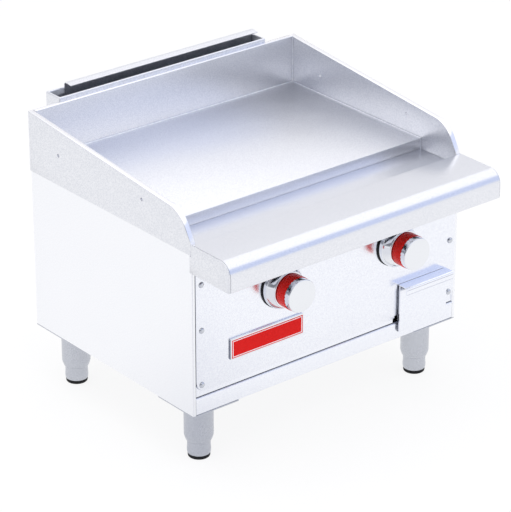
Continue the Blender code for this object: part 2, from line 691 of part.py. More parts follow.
open_box(
    "drawer_tray",
    (-TRAY_WIDTH / 2, DRAWER_BACK + GAP, 0.0),
    (TRAY_WIDTH / 2, CABINET_DEPTH - TRAY_REAR_CLEARANCE, TRAY_HEIGHT),
    [(0, 0, 1)], THIN_SHEET, STAINLESS, DRAWER)


GUIDE_SIDE = TRAY_WIDTH / 2 + GAP + SHEET
GUIDE_FRONT = BEHIND_PANEL + SHEET + GAP
GUIDE_SECTION = [
    (-GUIDE_SIDE, GUIDE_HEIGHT), (-GUIDE_SIDE, 0.0), (GUIDE_SIDE, 0.0), (GUIDE_SIDE, GUIDE_HEIGHT)]
folded_sheet(
    "drawer_guide",
    [Vector((DRAWER_CENTRE + x, GUIDE_FRONT, GUIDE_BOTTOM + z)) for x, z in GUIDE_SECTION],
    (0, INNER_BACK - GUIDE_FRONT, 0), SHEET, -1, STAINLESS)

# ---------------------------------------------------------------- control panel and what backs it
def screw_places():
    across = HALF_PANEL - SCREW_INSET
    heights = [PANEL_BOTTOM + rise for rise in SCREW_RISES] + [PANEL_TOP - SCREW_DROP]
    return [(sign * across, height) for sign in (-1, 1) for height in heights]


def control_panel():
    """Front sheet with short returns all round, holes for the valve stems and a bay for the drawer."""
    corners = [
        (-HALF_PANEL, PANEL_BOTTOM), (HALF_PANEL, PANEL_BOTTOM), (HALF_PANEL, PANEL_TOP),
        (-HALF_PANEL, PANEL_TOP)]
    panel = outline(
        "control_panel", rounded(corners, {0: PANEL_CORNER_RADIUS, 1: PANEL_CORNER_RADIUS}),
        PANEL_RETURN, (0, PANEL_BACK, 0), FACING_FRONT, STAINLESS)
    bm = bmesh.new()
    bm.from_mesh(panel.data)
    bm.normal_update()
    back = [face for face in bm.faces if face.normal.z < -0.9]
    bmesh.ops.delete(bm, geom=back, context="FACES")
    bm.to_mesh(panel.data)
    bm.free()
    solidify(panel, THIN_SHEET, -1)
    half_bay = TRAY_WIDTH / 2 + BAY_MARGIN
    before, behind = -2 * PANEL_RETURN, 2 * PANEL_RETURN   # the cutters run past both faces
    bay = box(
        "drawer_bay",
        (DRAWER_CENTRE - half_bay, before, PANEL_BOTTOM - PANEL_RETURN),
        (DRAWER_CENTRE + half_bay, behind, TRAY_TOP + BAY_MARGIN))
    notch = box(
        "bay_notch",
        (DRAWER_CENTRE - half_bay - BAY_NOTCH[0], before, PANEL_BOTTOM - PANEL_RETURN),
        (DRAWER_CENTRE, behind, PANEL_BOTTOM + BAY_NOTCH[1]))
    cut(panel, bay, notch)
    for side, across in KNOB_PLACES.items():
        cut(panel, cylinder(
            "stem_hole_" + side, KNOB_HOLE_RADIUS, (across, behind, KNOB_HEIGHT), behind - before,
            FACING_FRONT, ROUND_STEPS))
    return panel


PANEL = control_panel()
FRAME_SIDE = HALF_PANEL - FRAME_SIDE_GAP
FRAME = open_box(
    "front_frame",
    (-FRAME_SIDE, BEHIND_PANEL, FRAME_BOTTOM), (FRAME_SIDE, BEHIND_PANEL + FRAME_DEPTH, CABINET_HEIGHT),
    [(0, 1, 0), (0, 0, 1)], SHEET, STAINLESS)
HALF_BAY = TRAY_WIDTH / 2 + BAY_MARGIN
WINDOW = FRAME_SIDE - FRAME_POST
cut(
    FRAME,
    box(
        "frame_window",
        (-WINDOW, BEHIND_PANEL - SHEET, FRAME_BOTTOM + FRAME_SILL),
        (WINDOW, BEHIND_PANEL + 2 * SHEET, CABINET_HEIGHT - FRAME_HEADER)),
    box(
        "frame_bay",
        (DRAWER_CENTRE - HALF_BAY - BAY_NOTCH[0] - SHEET, BEHIND_PANEL - SHEET, FRAME_BOTTOM - SHEET),
        (DRAWER_CENTRE + HALF_BAY, BEHIND_PANEL + 2 * FRAME_DEPTH, FRAME_BOTTOM + FRAME_SILL + SHEET)))


def panel_screw(number, place_at):
    """A dome head on the panel's face, with its shank through the panel and the post."""
    dome = [
        (SCREW_HEAD_RADIUS * math.sin(angle), SCREW_HEAD_HEIGHT * math.cos(angle))
        for angle in (step * math.pi / 6 for step in range(1, 4))
    ]
    profile = [(0.0, SCREW_HEAD_HEIGHT)] + dome + [
        (SCREW_SHANK_RADIUS, 0.0), (SCREW_SHANK_RADIUS, -SCREW_LENGTH), (0.0, -SCREW_LENGTH)]
    return turned(
        "panel_screw_%d" % (number + 1), profile, SMALL_STEPS,
        (place_at[0], -PANEL_PROUD - GAP, place_at[1]), FACING_FRONT, CHROME)


for index, spot in enumerate(screw_places()):
    hole = cylinder(
        "screw_hole_%d" % index, SCREW_SHANK_RADIUS + RUNNING, (spot[0], 2 * SCREW_LENGTH, spot[1]),
        3 * SCREW_LENGTH, FACING_FRONT, SMALL_STEPS)
    cut(PANEL, hole)
    cut(FRAME, hole)
    panel_screw(index, spot)


def nameplate():
    """A bare framed plate: rim all round, field set back."""
    half = (NAMEPLATE_SIZE[0] / 2, NAMEPLATE_SIZE[1] / 2)
    middle = (NAMEPLATE_INSET - HALF_PANEL, KNOB_HEIGHT - NAMEPLATE_DROP)
    face = -PANEL_PROUD - GAP - NAMEPLATE_THICKNESS
    low = (middle[0] - half[0], face, middle[1] - half[1])
    high = (middle[0] + half[0], -PANEL_PROUD - GAP, middle[1] + half[1])
    plate = box("nameplate", low, high, RED_PLASTIC)
    field = box(
        "nameplate_field",
        (low[0] + NAMEPLATE_RIM, face - NAMEPLATE_RECESS, low[2] + NAMEPLATE_RIM),
        (high[0] - NAMEPLATE_RIM, face + NAMEPLATE_RECESS, high[2] - NAMEPLATE_RIM))
    cut(plate, field)


nameplate()


# ---------------------------------------------------------------- knobs, valves, manifold, inlet
def knob_stack(side, across):
    axis = (across, 0.0, KNOB_HEIGHT)
    turned(
        "knob_gasket_" + side,
        [(GASKET_RADIUS, GASKET_BACK + GASKET_THICKNESS), (GASKET_RADIUS, GASKET_BACK),
         (GASKET_RADIUS - GASKET_WIDTH, GASKET_BACK),
         (GASKET_RADIUS - GASKET_WIDTH, GASKET_BACK + GASKET_THICKNESS)],
        KNOB_STEPS, axis, FACING_FRONT, RUBBER, closed=True)
    edge = SHEET / 2
    turned(
        "knob_bezel_" + side,
        [(BEZEL_OPENING_RADIUS, BEZEL_NOSE), (BEZEL_NOSE_RADIUS - edge, BEZEL_NOSE),
         (BEZEL_NOSE_RADIUS + edge, BEZEL_NOSE - SHEET),
         (BEZEL_RADIUS - edge, BEZEL_BACK + BEZEL_SKIRT + SHEET),
         (BEZEL_RADIUS, BEZEL_BACK + BEZEL_SKIRT), (BEZEL_RADIUS, BEZEL_BACK),
         (BEZEL_RADIUS - SHEET, BEZEL_BACK), (BEZEL_RADIUS - SHEET, BEZEL_BACK + BEZEL_SKIRT - edge),
         (BEZEL_NOSE_RADIUS - SHEET, BEZEL_NOSE - 2 * SHEET),
         (BEZEL_NOSE_RADIUS - 2 * SHEET, BEZEL_NOSE - SHEET),
         (BEZEL_OPENING_RADIUS, BEZEL_NOSE - SHEET)],
        KNOB_STEPS, axis, FACING_FRONT, CHROME, closed=True)
    spindle = joint_empty("knob_axis_" + side, axis, CABINET)
    bore = STEM_RADIUS + RUNNING
    stem_front = KNOB_BACK + STEM_ENGAGEMENT
    cap = turned(
        "knob_" + side,
        [(0.0, KNOB_FACE), (KNOB_FACE_RADIUS, KNOB_FACE), (KNOB_CAP_RADIUS, KNOB_FACE - SHEET),
         (KNOB_CAP_RADIUS, CAP_BACK), (KNOB_CORE_RADIUS, CAP_BACK), (KNOB_CORE_RADIUS, KNOB_BACK),
         (bore, KNOB_BACK), (bore, stem_front + GAP), (0.0, stem_front + GAP)],
        KNOB_STEPS, (0, 0, 0), FACING_FRONT, CHROME, parent=spindle)
    for number in range(FLUTES):
        angle = 2 * math.pi * (number + 0.5) / FLUTES
        reach = KNOB_CAP_RADIUS + FLUTE_RADIUS - FLUTE_DEPTH
        cut(cap, cylinder(
            "flute_%s_%d" % (side, number), FLUTE_RADIUS,
            (reach * math.cos(angle), -CAP_BACK + SHEET, reach * math.sin(angle)),
            KNOB_CAP_LENGTH + 2 * SHEET, FACING_FRONT, SMALL_STEPS, parent=spindle))
    turned(
        "knob_ring_" + side,
        [(KNOB_RING_RADIUS, RING_BACK + KNOB_RING_LENGTH), (KNOB_RING_RADIUS, RING_BACK),
         (KNOB_CORE_RADIUS + GAP, RING_BACK), (KNOB_CORE_RADIUS + GAP, RING_BACK + KNOB_RING_LENGTH)],
        KNOB_STEPS, (0, 0, 0), FACING_FRONT, RED_PLASTIC, closed=True, parent=spindle)
    neck_front = VALVE_CENTRE - VALVE_LENGTH / 2 - VALVE_NECK_LENGTH
    stem_back = neck_front + STEM_ENGAGEMENT
    cylinder(
        "valve_stem_" + side, STEM_RADIUS, (0, stem_back, 0), stem_back + stem_front, FACING_FRONT,
        PIPE_STEPS, BRASS, spindle)

    body = cylinder(
        "gas_valve_" + side, VALVE_RADIUS, (across, VALVE_CENTRE + VALVE_LENGTH / 2, KNOB_HEIGHT),
        VALVE_LENGTH, FACING_FRONT, PIPE_STEPS, BRASS)
    neck = cylinder(
        "valve_neck_" + side, VALVE_NECK_RADIUS, (across, VALVE_CENTRE, KNOB_HEIGHT),
        VALVE_CENTRE - neck_front, FACING_FRONT, PIPE_STEPS)
    orifice = cylinder(
        "orifice_" + side, ORIFICE_RADIUS, (across, VALVE_CENTRE, KNOB_HEIGHT),
        VALVE_LENGTH / 2 + ORIFICE_LENGTH, FACING_BACK, PIPE_STEPS)
    nipple_foot = MANIFOLD_HEIGHT + PIPE_RADIUS + GAP
    nipple = cylinder(
        "nipple_" + side, VALVE_NECK_RADIUS, (across, VALVE_CENTRE, nipple_foot),
        KNOB_HEIGHT - nipple_foot, (0, 0, 0), PIPE_STEPS)
    fuse(body, neck, orifice, nipple)
    cut(body, cylinder(
        "stem_bore_" + side, bore, (across, stem_back + GAP, KNOB_HEIGHT), stem_back + KNOB_FACE,
        FACING_FRONT, PIPE_STEPS))


for SIDE, ACROSS in KNOB_PLACES.items():
    knob_stack(SIDE, ACROSS)


def gas_manifold():
    """One pipe: across behind the valves, round an elbow at the left and out through the back."""
    end = CABINET_DEPTH + INLET_REACH
    plan = [(KNOB_PLACES["right"] + MANIFOLD_TAIL, VALVE_CENTRE), (INLET_PLACE, VALVE_CENTRE), (INLET_PLACE, end)]
    path = [(x, y, MANIFOLD_HEIGHT) for x, y in rounded(plan, {1: INLET_BEND_RADIUS})]
    pipe = tube("gas_manifold", path, PIPE_RADIUS, BLACK_PIPE, resolution=2)
    cut(pipe, cylinder(
        "inlet_bore", PIPE_BORE_RADIUS, (INLET_PLACE, end - PIPE_BORE_DEPTH, MANIFOLD_HEIGHT),
        2 * PIPE_BORE_DEPTH, FACING_BACK, PIPE_STEPS))


gas_manifold()

BRACKET_FOOT = MANIFOLD_HEIGHT - PIPE_RADIUS - GAP - BRACKET_SHEET
BRACKET_BACK = SHIELD_PLACE - GAP
BRACKET_LEFT = KNOB_PLACES["left"] - BRACKET_TAIL
BRACKET_RIGHT = KNOB_PLACES["right"] - BRACKET_STOP
BRACKET = folded_sheet(
    "manifold_bracket",
    in_profile(
        [(VALVE_CENTRE - PIPE_RADIUS, BRACKET_FOOT), (BRACKET_BACK, BRACKET_FOOT),
         (BRACKET_BACK, BRACKET_FOOT + BRACKET_HEIGHT)], BRACKET_LEFT),
    (BRACKET_RIGHT - BRACKET_LEFT, 0, 0), BRACKET_SHEET, 1, DARK_STEEL)

# ---------------------------------------------------------------- burner box
SHIELD_HALF = HALF_INNER - SHEET - GAP
SHIELD = box(
    "heat_shield", (-SHIELD_HALF, SHIELD_PLACE, PAN_TOP + GAP),
    (SHIELD_HALF, SHIELD_PLACE + THIN_SHEET, CABINET_HEIGHT), DARK_STEEL)
HALF_TUNNEL = TRAY_WIDTH / 2 + 3 * BAY_MARGIN
cut(SHIELD, INLET_CUTTER, box(
    "drawer_tunnel",
    (DRAWER_CENTRE - HALF_TUNNEL, SHIELD_PLACE - SHEET, -PAN_FLANGE),
    (DRAWER_CENTRE + HALF_TUNNEL, SHIELD_PLACE + 2 * SHEET, TRAY_TOP + 3 * BAY_MARGIN)))


def rest(name, back, top, width, forward):
    """An angle from side to side: a vertical leg at back, and a ledge that runs forward or backward."""
    ledge = back - width if forward else back + width
    section = [(back, top - REST_HEIGHT), (back, top), (ledge, top)]
    side = -1 if forward else 1
    folded_sheet(
        name, in_profile(section, -HALF_INNER), (2 * HALF_INNER, 0, 0), REST_SHEET, -side, DARK_STEEL)


rest("plate_rest_front", PLATE_FRONT + FRONT_REST_INSET, REST_TOP, REST_WIDTH, False)
rest("plate_rest_rear", CABINET_DEPTH - REAR_REST_INSET, REST_TOP, REST_WIDTH, True)
rest("burner_rest", CABINET_DEPTH - BURNER_REST_INSET, BURNER_HEIGHT - BURNER_RADIUS - GAP, BURNER_REST_WIDTH, True)


def burner(side, across):
    """A U of steel tube, closed at both ends, with a mixing tube that rises into its middle."""
    half = BURNER_SPREAD / 2
    plan = [
        (across - half, BURNER_BACK), (across - half, BURNER_FRONT),
        (across + half, BURNER_FRONT), (across + half, BURNER_BACK)]
    path = [
        (x, y, BURNER_HEIGHT) for x, y in rounded(plan, {1: BURNER_BEND_RADIUS, 2: BURNER_BEND_RADIUS}, 4)]
    body = tube("burner_" + side, path, BURNER_RADIUS, DARK_STEEL, resolution=2)
    rise = BURNER_HEIGHT - KNOB_HEIGHT
    ramp = BURNER_FRONT - SHIELD_PLACE - MIXER_RADIUS
    mixer = tube(
        "mixer_" + side,
        [(across, MIXER_FRONT, KNOB_HEIGHT), (across, SHIELD_PLACE + MIXER_RADIUS, KNOB_HEIGHT),
         (across, SHIELD_PLACE + MIXER_RADIUS + 0.4 * ramp, KNOB_HEIGHT + 0.25 * rise),
         (across, SHIELD_PLACE + MIXER_RADIUS + 0.9 * ramp, KNOB_HEIGHT + 0.85 * rise),
         (across, BURNER_FRONT, BURNER_HEIGHT)],
        MIXER_RADIUS, None, resolution=2)
    fuse(body, mixer)
    cut(SHIELD, cylinder(
        "mixer_hole_" + side, MIXER_RADIUS + RUNNING, (across, SHIELD_PLACE + MIXER_RADIUS, KNOB_HEIGHT),
        2 * MIXER_RADIUS, FACING_FRONT, ROUND_STEPS))


def air_shutter(side, across):
    """A sleeve that turns on the mixing tube's mouth, with a tab to turn it by."""
    axle = joint_empty("shutter_axis_" + side, (across, MIXER_FRONT, KNOB_HEIGHT), CABINET)
    inner = MIXER_RADIUS + RUNNING
    outer = inner + SHUTTER_WALL
    lip = SHUTTER_WALL + GAP
    sleeve = turned(
        "air_shutter_" + side,
        [(SHUTTER_LIP_RADIUS, lip), (outer, lip), (outer, lip - SHUTTER_LENGTH), (inner, lip - SHUTTER_LENGTH),
         (inner, GAP), (SHUTTER_LIP_RADIUS, GAP)],
        ROUND_STEPS, (0, 0, 0), FACING_FRONT, STAINLESS, closed=True, parent=axle)
    tab = box(
        "shutter_tab_" + side, (-SHUTTER_TAB[0] / 2, 0.0, outer - SHUTTER_WALL / 2),
        (SHUTTER_TAB[0] / 2, SHUTTER_TAB[1], outer + SHUTTER_TAB[2]), parent=axle)
    fuse(sleeve, tab)


def pilot_burners():
    """A thin tube from the manifold, through the shield and up to a cross tube with a head at each burner."""
    middle = sum(KNOB_PLACES.values()) / 2
    heads = (KNOB_PLACES["left"] + PILOT_OFFSET, KNOB_PLACES["right"] - PILOT_OFFSET)
    start = VALVE_CENTRE + PIPE_RADIUS + GAP
    cross = BURNER_HEIGHT - PILOT_HEAD_LENGTH / 2
    section = rounded(
        [(start, MANIFOLD_HEIGHT), (PILOT_PLACE, MANIFOLD_HEIGHT), (PILOT_PLACE, cross)],
        {1: 4 * PILOT_TUBE_RADIUS}, 3)
    body = tube(
        "pilot_burners", [(middle, y, z) for y, z in section], PILOT_TUBE_RADIUS, DARK_STEEL, resolution=1)
    fuse(body, cylinder(
        "pilot_cross", PILOT_TUBE_RADIUS, (heads[0], PILOT_PLACE, cross), heads[1] - heads[0],
        (0, math.pi / 2, 0), SMALL_STEPS))
    for number, across in enumerate(heads):
        fuse(body, cylinder(
            "pilot_head_%d" % number, PILOT_HEAD_RADIUS,
            (across, PILOT_PLACE, cross - PILOT_TUBE_RADIUS), PILOT_HEAD_LENGTH, (0, 0, 0), SMALL_STEPS))
    hole = cylinder(
        "pilot_hole", PILOT_TUBE_RADIUS + RUNNING, (middle, SHIELD_PLACE + PILOT_HEAD_RADIUS, MANIFOLD_HEIGHT),
        2 * PILOT_HEAD_RADIUS, FACING_FRONT, PIPE_STEPS)
    cut(SHIELD, hole)
    cut(BRACKET, hole)


for SIDE, ACROSS in KNOB_PLACES.items():
    burner(SIDE, ACROSS)
    air_shutter(SIDE, ACROSS)
pilot_burners()


# ---------------------------------------------------------------- flue
def flue_riser():
    """A tall narrow box, open at the top, its rim folded in and down as a hem."""
    centre = Vector((0.0, FLUE_FRONT + FLUE_DEPTH / 2, FLUE_BOTTOM))
    height = FLUE_TOP - FLUE_BOTTOM
    bm = bmesh.new()
    bmesh.ops.create_grid(bm, x_segments=1, y_segments=1, size=0.5)
    bmesh.ops.scale(bm, vec=(2 * HALF_FLUE, FLUE_DEPTH, 1.0), verts=bm.verts)
    floor = bm.faces[:]
    bmesh.ops.reverse_faces(bm, faces=floor)
    rim = [edge for edge in bm.edges if edge.is_boundary]
    steps = [
        ((0, 0, height), (1.0, 1.0, 1.0)),
        ((0, 0, 0), (1 - FLUE_HEM / HALF_FLUE, 1 - 2 * FLUE_HEM / FLUE_DEPTH, 1.0)),
        ((0, 0, -FLUE_HEM_DROP), (1.0, 1.0, 1.0)),
    ]
    for shift, shrink in steps:
        drawn = bmesh.ops.extrude_edge_only(bm, edges=rim)
        moved = [item for item in drawn["geom"] if isinstance(item, bmesh.types.BMVert)]
        rim = [item for item in drawn["geom"] if isinstance(item, bmesh.types.BMEdge)]
        bmesh.ops.translate(bm, vec=shift, verts=moved)
        bmesh.ops.scale(bm, vec=shrink, verts=moved)
    bmesh.ops.recalc_face_normals(bm, faces=bm.faces)
    riser = mesh_object("flue_riser", bm, STAINLESS, centre)
    solidify(riser, SHEET, -1)
    cut(riser, FLUE_PASSAGE)


flue_riser()

RISER_BACK = FLUE_FRONT + FLUE_DEPTH - FLUE_HEM - GAP
DEFLECTOR_TOP = FLUE_TOP + DEFLECTOR_RISE
DEFLECTOR_SECTION = [
    (RISER_BACK, FLUE_TOP - DEFLECTOR_DROP),
    (RISER_BACK, DEFLECTOR_TOP),
    (RISER_BACK - DEFLECTOR_REACH / 2, DEFLECTOR_TOP),
    (RISER_BACK - DEFLECTOR_REACH, DEFLECTOR_TOP - DEFLECTOR_DIP),
]
folded_sheet(
    "flue_deflector",
    in_profile(rounded(DEFLECTOR_SECTION, {1: DEFLECTOR_RADIUS}), DEFLECTOR_INSETS[0] - HALF_FLUE),
    (2 * HALF_FLUE - sum(DEFLECTOR_INSETS), 0, 0), SHEET, 1, STAINLESS)


# ---------------------------------------------------------------- legs and feet
def leg(corner, spot):
    """A leg tube welded to its mounting plate, and the foot that screws up into it."""
    flare = LEG_FLARE_RADIUS - LEG_RADIUS
    weld = LEG_TOP + LEG_PLATE_THICKNESS / 2
    bore = FOOT_STEM_RADIUS + RUNNING
    bore_top = FOOT_TOP + FOOT_STEM_LENGTH + FOOT_STEM_SLACK
    body = turned(
        "leg_" + corner,
        [(0.0, weld), (LEG_FLARE_RADIUS, weld), (LEG_FLARE_RADIUS, LEG_TOP - flare / 4),
         (LEG_RADIUS, LEG_TOP - 2 * flare), (LEG_RADIUS, LEG_BOTTOM + LEG_CHAMFER),
         (LEG_LOWER_RADIUS, LEG_BOTTOM), (bore, LEG_BOTTOM), (bore, bore_top), (0.0, bore_top)],
        ROUND_STEPS, (*spot, 0.0), (0, 0, 0), LEG_STEEL)
    half = LEG_PLATE / 2
    fuse(body, box(
        "leg_plate_" + corner, (spot[0] - half, spot[1] - half, LEG_TOP),
        (spot[0] + half, spot[1] + half, -GAP)))
    screw_axis = joint_empty("foot_axis_" + corner, (*spot, 0.0), CABINET)
    flare_at = FOOT_BOTTOM + FOOT_LENGTH / 3
    turned(
        "foot_" + corner,
        [(0.0, FOOT_TOP + FOOT_STEM_LENGTH), (FOOT_STEM_RADIUS, FOOT_TOP + FOOT_STEM_LENGTH),
         (FOOT_STEM_RADIUS, FOOT_TOP), (FOOT_RADIUS, FOOT_TOP), (FOOT_RADIUS, flare_at + FOOT_LENGTH / 8),
         (FOOT_FLARE_RADIUS, flare_at), (FOOT_FLARE_RADIUS, flare_at - FOOT_LENGTH / 8),
         (PAD_RADIUS, FOOT_BOTTOM), (0.0, FOOT_BOTTOM)],
        ROUND_STEPS, (0, 0, 0), (0, 0, 0), LEG_STEEL, parent=screw_axis)
    turned(
        "foot_pad_" + corner,
        [(0.0, PAD_TOP), (PAD_RADIUS, PAD_TOP), (PAD_RADIUS, PAD_TOP - PAD_HEIGHT / 3),
         (PAD_SOLE_RADIUS, -LEG_HEIGHT), (0.0, -LEG_HEIGHT)],
        ROUND_STEPS, (0, 0, 0), (0, 0, 0), RUBBER, parent=screw_axis)


for CORNER, SPOT in LEG_PLACES.items():
    leg(CORNER, SPOT)
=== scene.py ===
"""The looks of a 24 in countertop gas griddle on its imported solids. Metres, +Z up, controls towards -Y."""
import math

import bmesh
import bpy
from mathutils import Matrix, Vector


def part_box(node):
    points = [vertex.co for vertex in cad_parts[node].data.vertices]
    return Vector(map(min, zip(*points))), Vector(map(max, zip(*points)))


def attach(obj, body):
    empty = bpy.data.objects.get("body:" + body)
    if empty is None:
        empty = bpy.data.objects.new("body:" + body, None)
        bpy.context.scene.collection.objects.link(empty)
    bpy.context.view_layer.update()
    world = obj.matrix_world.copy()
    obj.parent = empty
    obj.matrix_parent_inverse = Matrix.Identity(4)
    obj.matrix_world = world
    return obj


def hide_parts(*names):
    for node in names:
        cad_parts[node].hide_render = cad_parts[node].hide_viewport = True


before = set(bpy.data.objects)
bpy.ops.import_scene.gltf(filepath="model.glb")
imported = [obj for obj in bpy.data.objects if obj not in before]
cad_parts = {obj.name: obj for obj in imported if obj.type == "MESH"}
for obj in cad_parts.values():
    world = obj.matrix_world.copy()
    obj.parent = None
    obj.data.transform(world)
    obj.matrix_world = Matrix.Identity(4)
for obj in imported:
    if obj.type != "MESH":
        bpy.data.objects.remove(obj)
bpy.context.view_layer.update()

scene = bpy.context.scene

# ---------------------------------------------------------------- the photographer's table
# The griddle stands on a white sweep in a bright, soft studio. A long lens looks down on it from the
# front left, 25 degrees above the table.
camera_data = bpy.data.cameras.new("camera")
camera_data.lens = 191.13
camera_data.sensor_width = 36.0
camera = bpy.data.objects.new("camera", camera_data)
camera.location = (-2.8082, -3.4286, 2.3436)
camera.rotation_euler = (math.radians(90 - 25.2539), 0.0, math.radians(-39.2966))
scene.collection.objects.link(camera)
scene.camera = camera
scene.view_settings.view_transform = "Standard"


def add_node(tree, kind, inputs, **settings):
    """One shader node with its settings. Each input is a value, or another node's output to link."""
    made = tree.nodes.new(kind)
    for name, value in settings.items():
        setattr(made, name, value)
    for name, value in inputs.items():
        if isinstance(value, bpy.types.NodeSocket):
            tree.links.new(value, made.inputs[name])
        else:
            made.inputs[name].default_value = value
    return made


def linear(code):
    """An sRGB hex colour as linear light with full alpha."""
    parts = [int(code[start:start + 2], 16) / 255 for start in (1, 3, 5)]
    return (*[part / 12.92 if part <= 0.04045 else ((part + 0.055) / 1.055) ** 2.4 for part in parts], 1.0)


def ramped(tree, value, low, high):
    """The value as a smooth 0 to 1 between low and high."""
    return add_node(
        tree, "ShaderNodeMapRange", {0: value, 1: low, 2: high, 3: 0.0, 4: 1.0},
        interpolation_type="SMOOTHSTEP").outputs[0]


def blended(tree, factor, first, second):
    """A mix of two colours, each a value or an output."""
    return add_node(tree, "ShaderNodeMix", {0: factor, 6: first, 7: second}, data_type="RGBA").outputs[2]


# The walls differ from side to side, so that each face of the steel has its own tone. A bright ceiling
# closes the room at the top, and a pale horizon at the bottom.
world = bpy.data.worlds.new("studio")
scene.world = world
world.use_nodes = True
sky = world.node_tree
sky.nodes.clear()
white = (1.0, 1.0, 1.0, 1.0)
rays = add_node(sky, "ShaderNodeLightPath", {})
direction = add_node(sky, "ShaderNodeTexCoord", {})
way = add_node(sky, "ShaderNodeSeparateXYZ", {"Vector": direction.outputs["Generated"]})
to_right = ramped(sky, way.outputs["X"], -0.35, 0.35)
to_front = ramped(sky, way.outputs["Y"], 0.35, -0.35)
back_wall = blended(sky, to_right, linear("#cdcfd5"), linear("#f5f5f8"))
front_wall = blended(sky, to_right, linear("#82848b"), linear("#d9e3ff"))
walls = blended(sky, to_front, back_wall, front_wall)
walls = blended(sky, ramped(sky, way.outputs["Z"], 0.16, 0.02), walls, linear("#fafbff"))
studio = blended(sky, ramped(sky, way.outputs["Z"], 0.48, 0.66), walls, (1.22, 1.22, 1.24, 1.0))
room = add_node(sky, "ShaderNodeBackground", {"Color": studio, "Strength": 1.0})
sweep = add_node(sky, "ShaderNodeBackground", {"Color": white, "Strength": 1.0})
seen = add_node(
    sky, "ShaderNodeMixShader", {0: rays.outputs["Is Camera Ray"], 1: room.outputs[0], 2: sweep.outputs[0]})
add_node(sky, "ShaderNodeOutputWorld", {"Surface": seen.outputs[0]})

# The paper glows white to the camera. In the steel's reflections its glow carries a painted shade, darker at
# the front left, and the share of it that is plain matt paper keeps the soft shadow.
table_form = bmesh.new()
bmesh.ops.create_grid(table_form, x_segments=1, y_segments=1, size=9.0)
table_mesh = bpy.data.meshes.new("table")
table_form.to_mesh(table_mesh)
table_form.free()
table = bpy.data.objects.new("table", table_mesh)
scene.collection.objects.link(table)
paper = bpy.data.materials.new("white_paper_sweep")
paper.use_nodes = True
paper_tree = paper.node_tree
paper_tree.nodes.clear()
matt = add_node(paper_tree, "ShaderNodeBsdfDiffuse", {"Color": linear("#f4f4f6")})
spread = add_node(paper_tree, "ShaderNodeTexCoord", {})
spread_xyz = add_node(paper_tree, "ShaderNodeSeparateXYZ", {"Vector": spread.outputs["Object"]})
# Painted shade in the glow, darker towards the front left.
shade = add_node(
    paper_tree, "ShaderNodeMath",
    {0: ramped(paper_tree, spread_xyz.outputs["X"], 0.08, -0.45),
     1: ramped(paper_tree, spread_xyz.outputs["Y"], 0.30, -0.40)},
    operation="MULTIPLY")
glow_with_painted_shade = blended(paper_tree, shade.outputs[0], white, linear("#e4e5ea"))
glimpsed = add_node(paper_tree, "ShaderNodeLightPath", {})
lit = add_node(
    paper_tree, "ShaderNodeEmission",
    {"Color": blended(paper_tree, glimpsed.outputs["Is Camera Ray"], glow_with_painted_shade, white), "Strength": 1.0})
either = add_node(
    paper_tree, "ShaderNodeMath",
    {0: glimpsed.outputs["Is Camera Ray"], 1: glimpsed.outputs["Is Glossy Ray"]}, operation="MAXIMUM")
glow_share = 0.86
share = add_node(paper_tree, "ShaderNodeMath", {0: either.outputs[0], 1: glow_share}, operation="MULTIPLY")
paper_mix = add_node(
    paper_tree, "ShaderNodeMixShader", {0: share.outputs[0], 1: matt.outputs[0], 2: lit.outputs[0]})
add_node(paper_tree, "ShaderNodeOutputMaterial", {"Surface": paper_mix.outputs[0]})
table_mesh.materials.append(paper)


def soft_lamp(name, place, aim, size, watts):
    """A large square soft box that faces aim."""
    data = bpy.data.lights.new(name, "AREA")
    data.size = size
    data.energy = watts
    lamp = bpy.data.objects.new(name, data)
    lamp.location = place
    lamp.rotation_euler = (Vector(aim) - Vector(place)).to_track_quat("-Z", "Y").to_euler()
    lamp.visible_glossy = False
    scene.collection.objects.link(lamp)


soft_lamp("overhead_box", (-0.4, -0.3, 3.0), (0.0, 0.0, 0.4), 2.4, 26.0)
soft_lamp("left_box", (-3.0, -0.6, 1.6), (0.0, 0.0, 0.3), 1.8, 14.0)

# ---------------------------------------------------------------- cabinet sides
# Each side is one sheet of stainless steel with a fine satin polish, folded in at the front edge and
# at the back, and spot welded to the floor and the back.
sheet_wall = 0.0015


def satin_sheet(name, light, dark, roughness, size=0.0012):
    """Satin steel whose fine speckle is about size across; it is drawn a little coarser than real grain."""
    material = bpy.data.materials.new(name)
    material.use_nodes = True
    tree = material.node_tree
    shader = tree.nodes["Principled BSDF"]
    shader.inputs["Metallic"].default_value = 1.0
    where = add_node(tree, "ShaderNodeTexCoord", {})
    speckle = add_node(
        tree, "ShaderNodeTexNoise", {"Vector": where.outputs["Object"], "Scale": 0.6 / size, "Detail": 1.0})
    tone = blended(tree, ramped(tree, speckle.outputs["Fac"], 0.34, 0.66), linear(dark), linear(light))
    tree.links.new(tone, shader.inputs["Base Color"])
    clouds = add_node(
        tree, "ShaderNodeTexNoise", {"Vector": where.outputs["Object"], "Scale": 14.0, "Detail": 1.0})
    haze = add_node(
        tree, "ShaderNodeMapRange",
        {0: clouds.outputs["Fac"], 1: 0.3, 2: 0.7, 3: roughness - 0.015, 4: roughness + 0.015})
    tree.links.new(haze.outputs[0], shader.inputs["Roughness"])
    return material


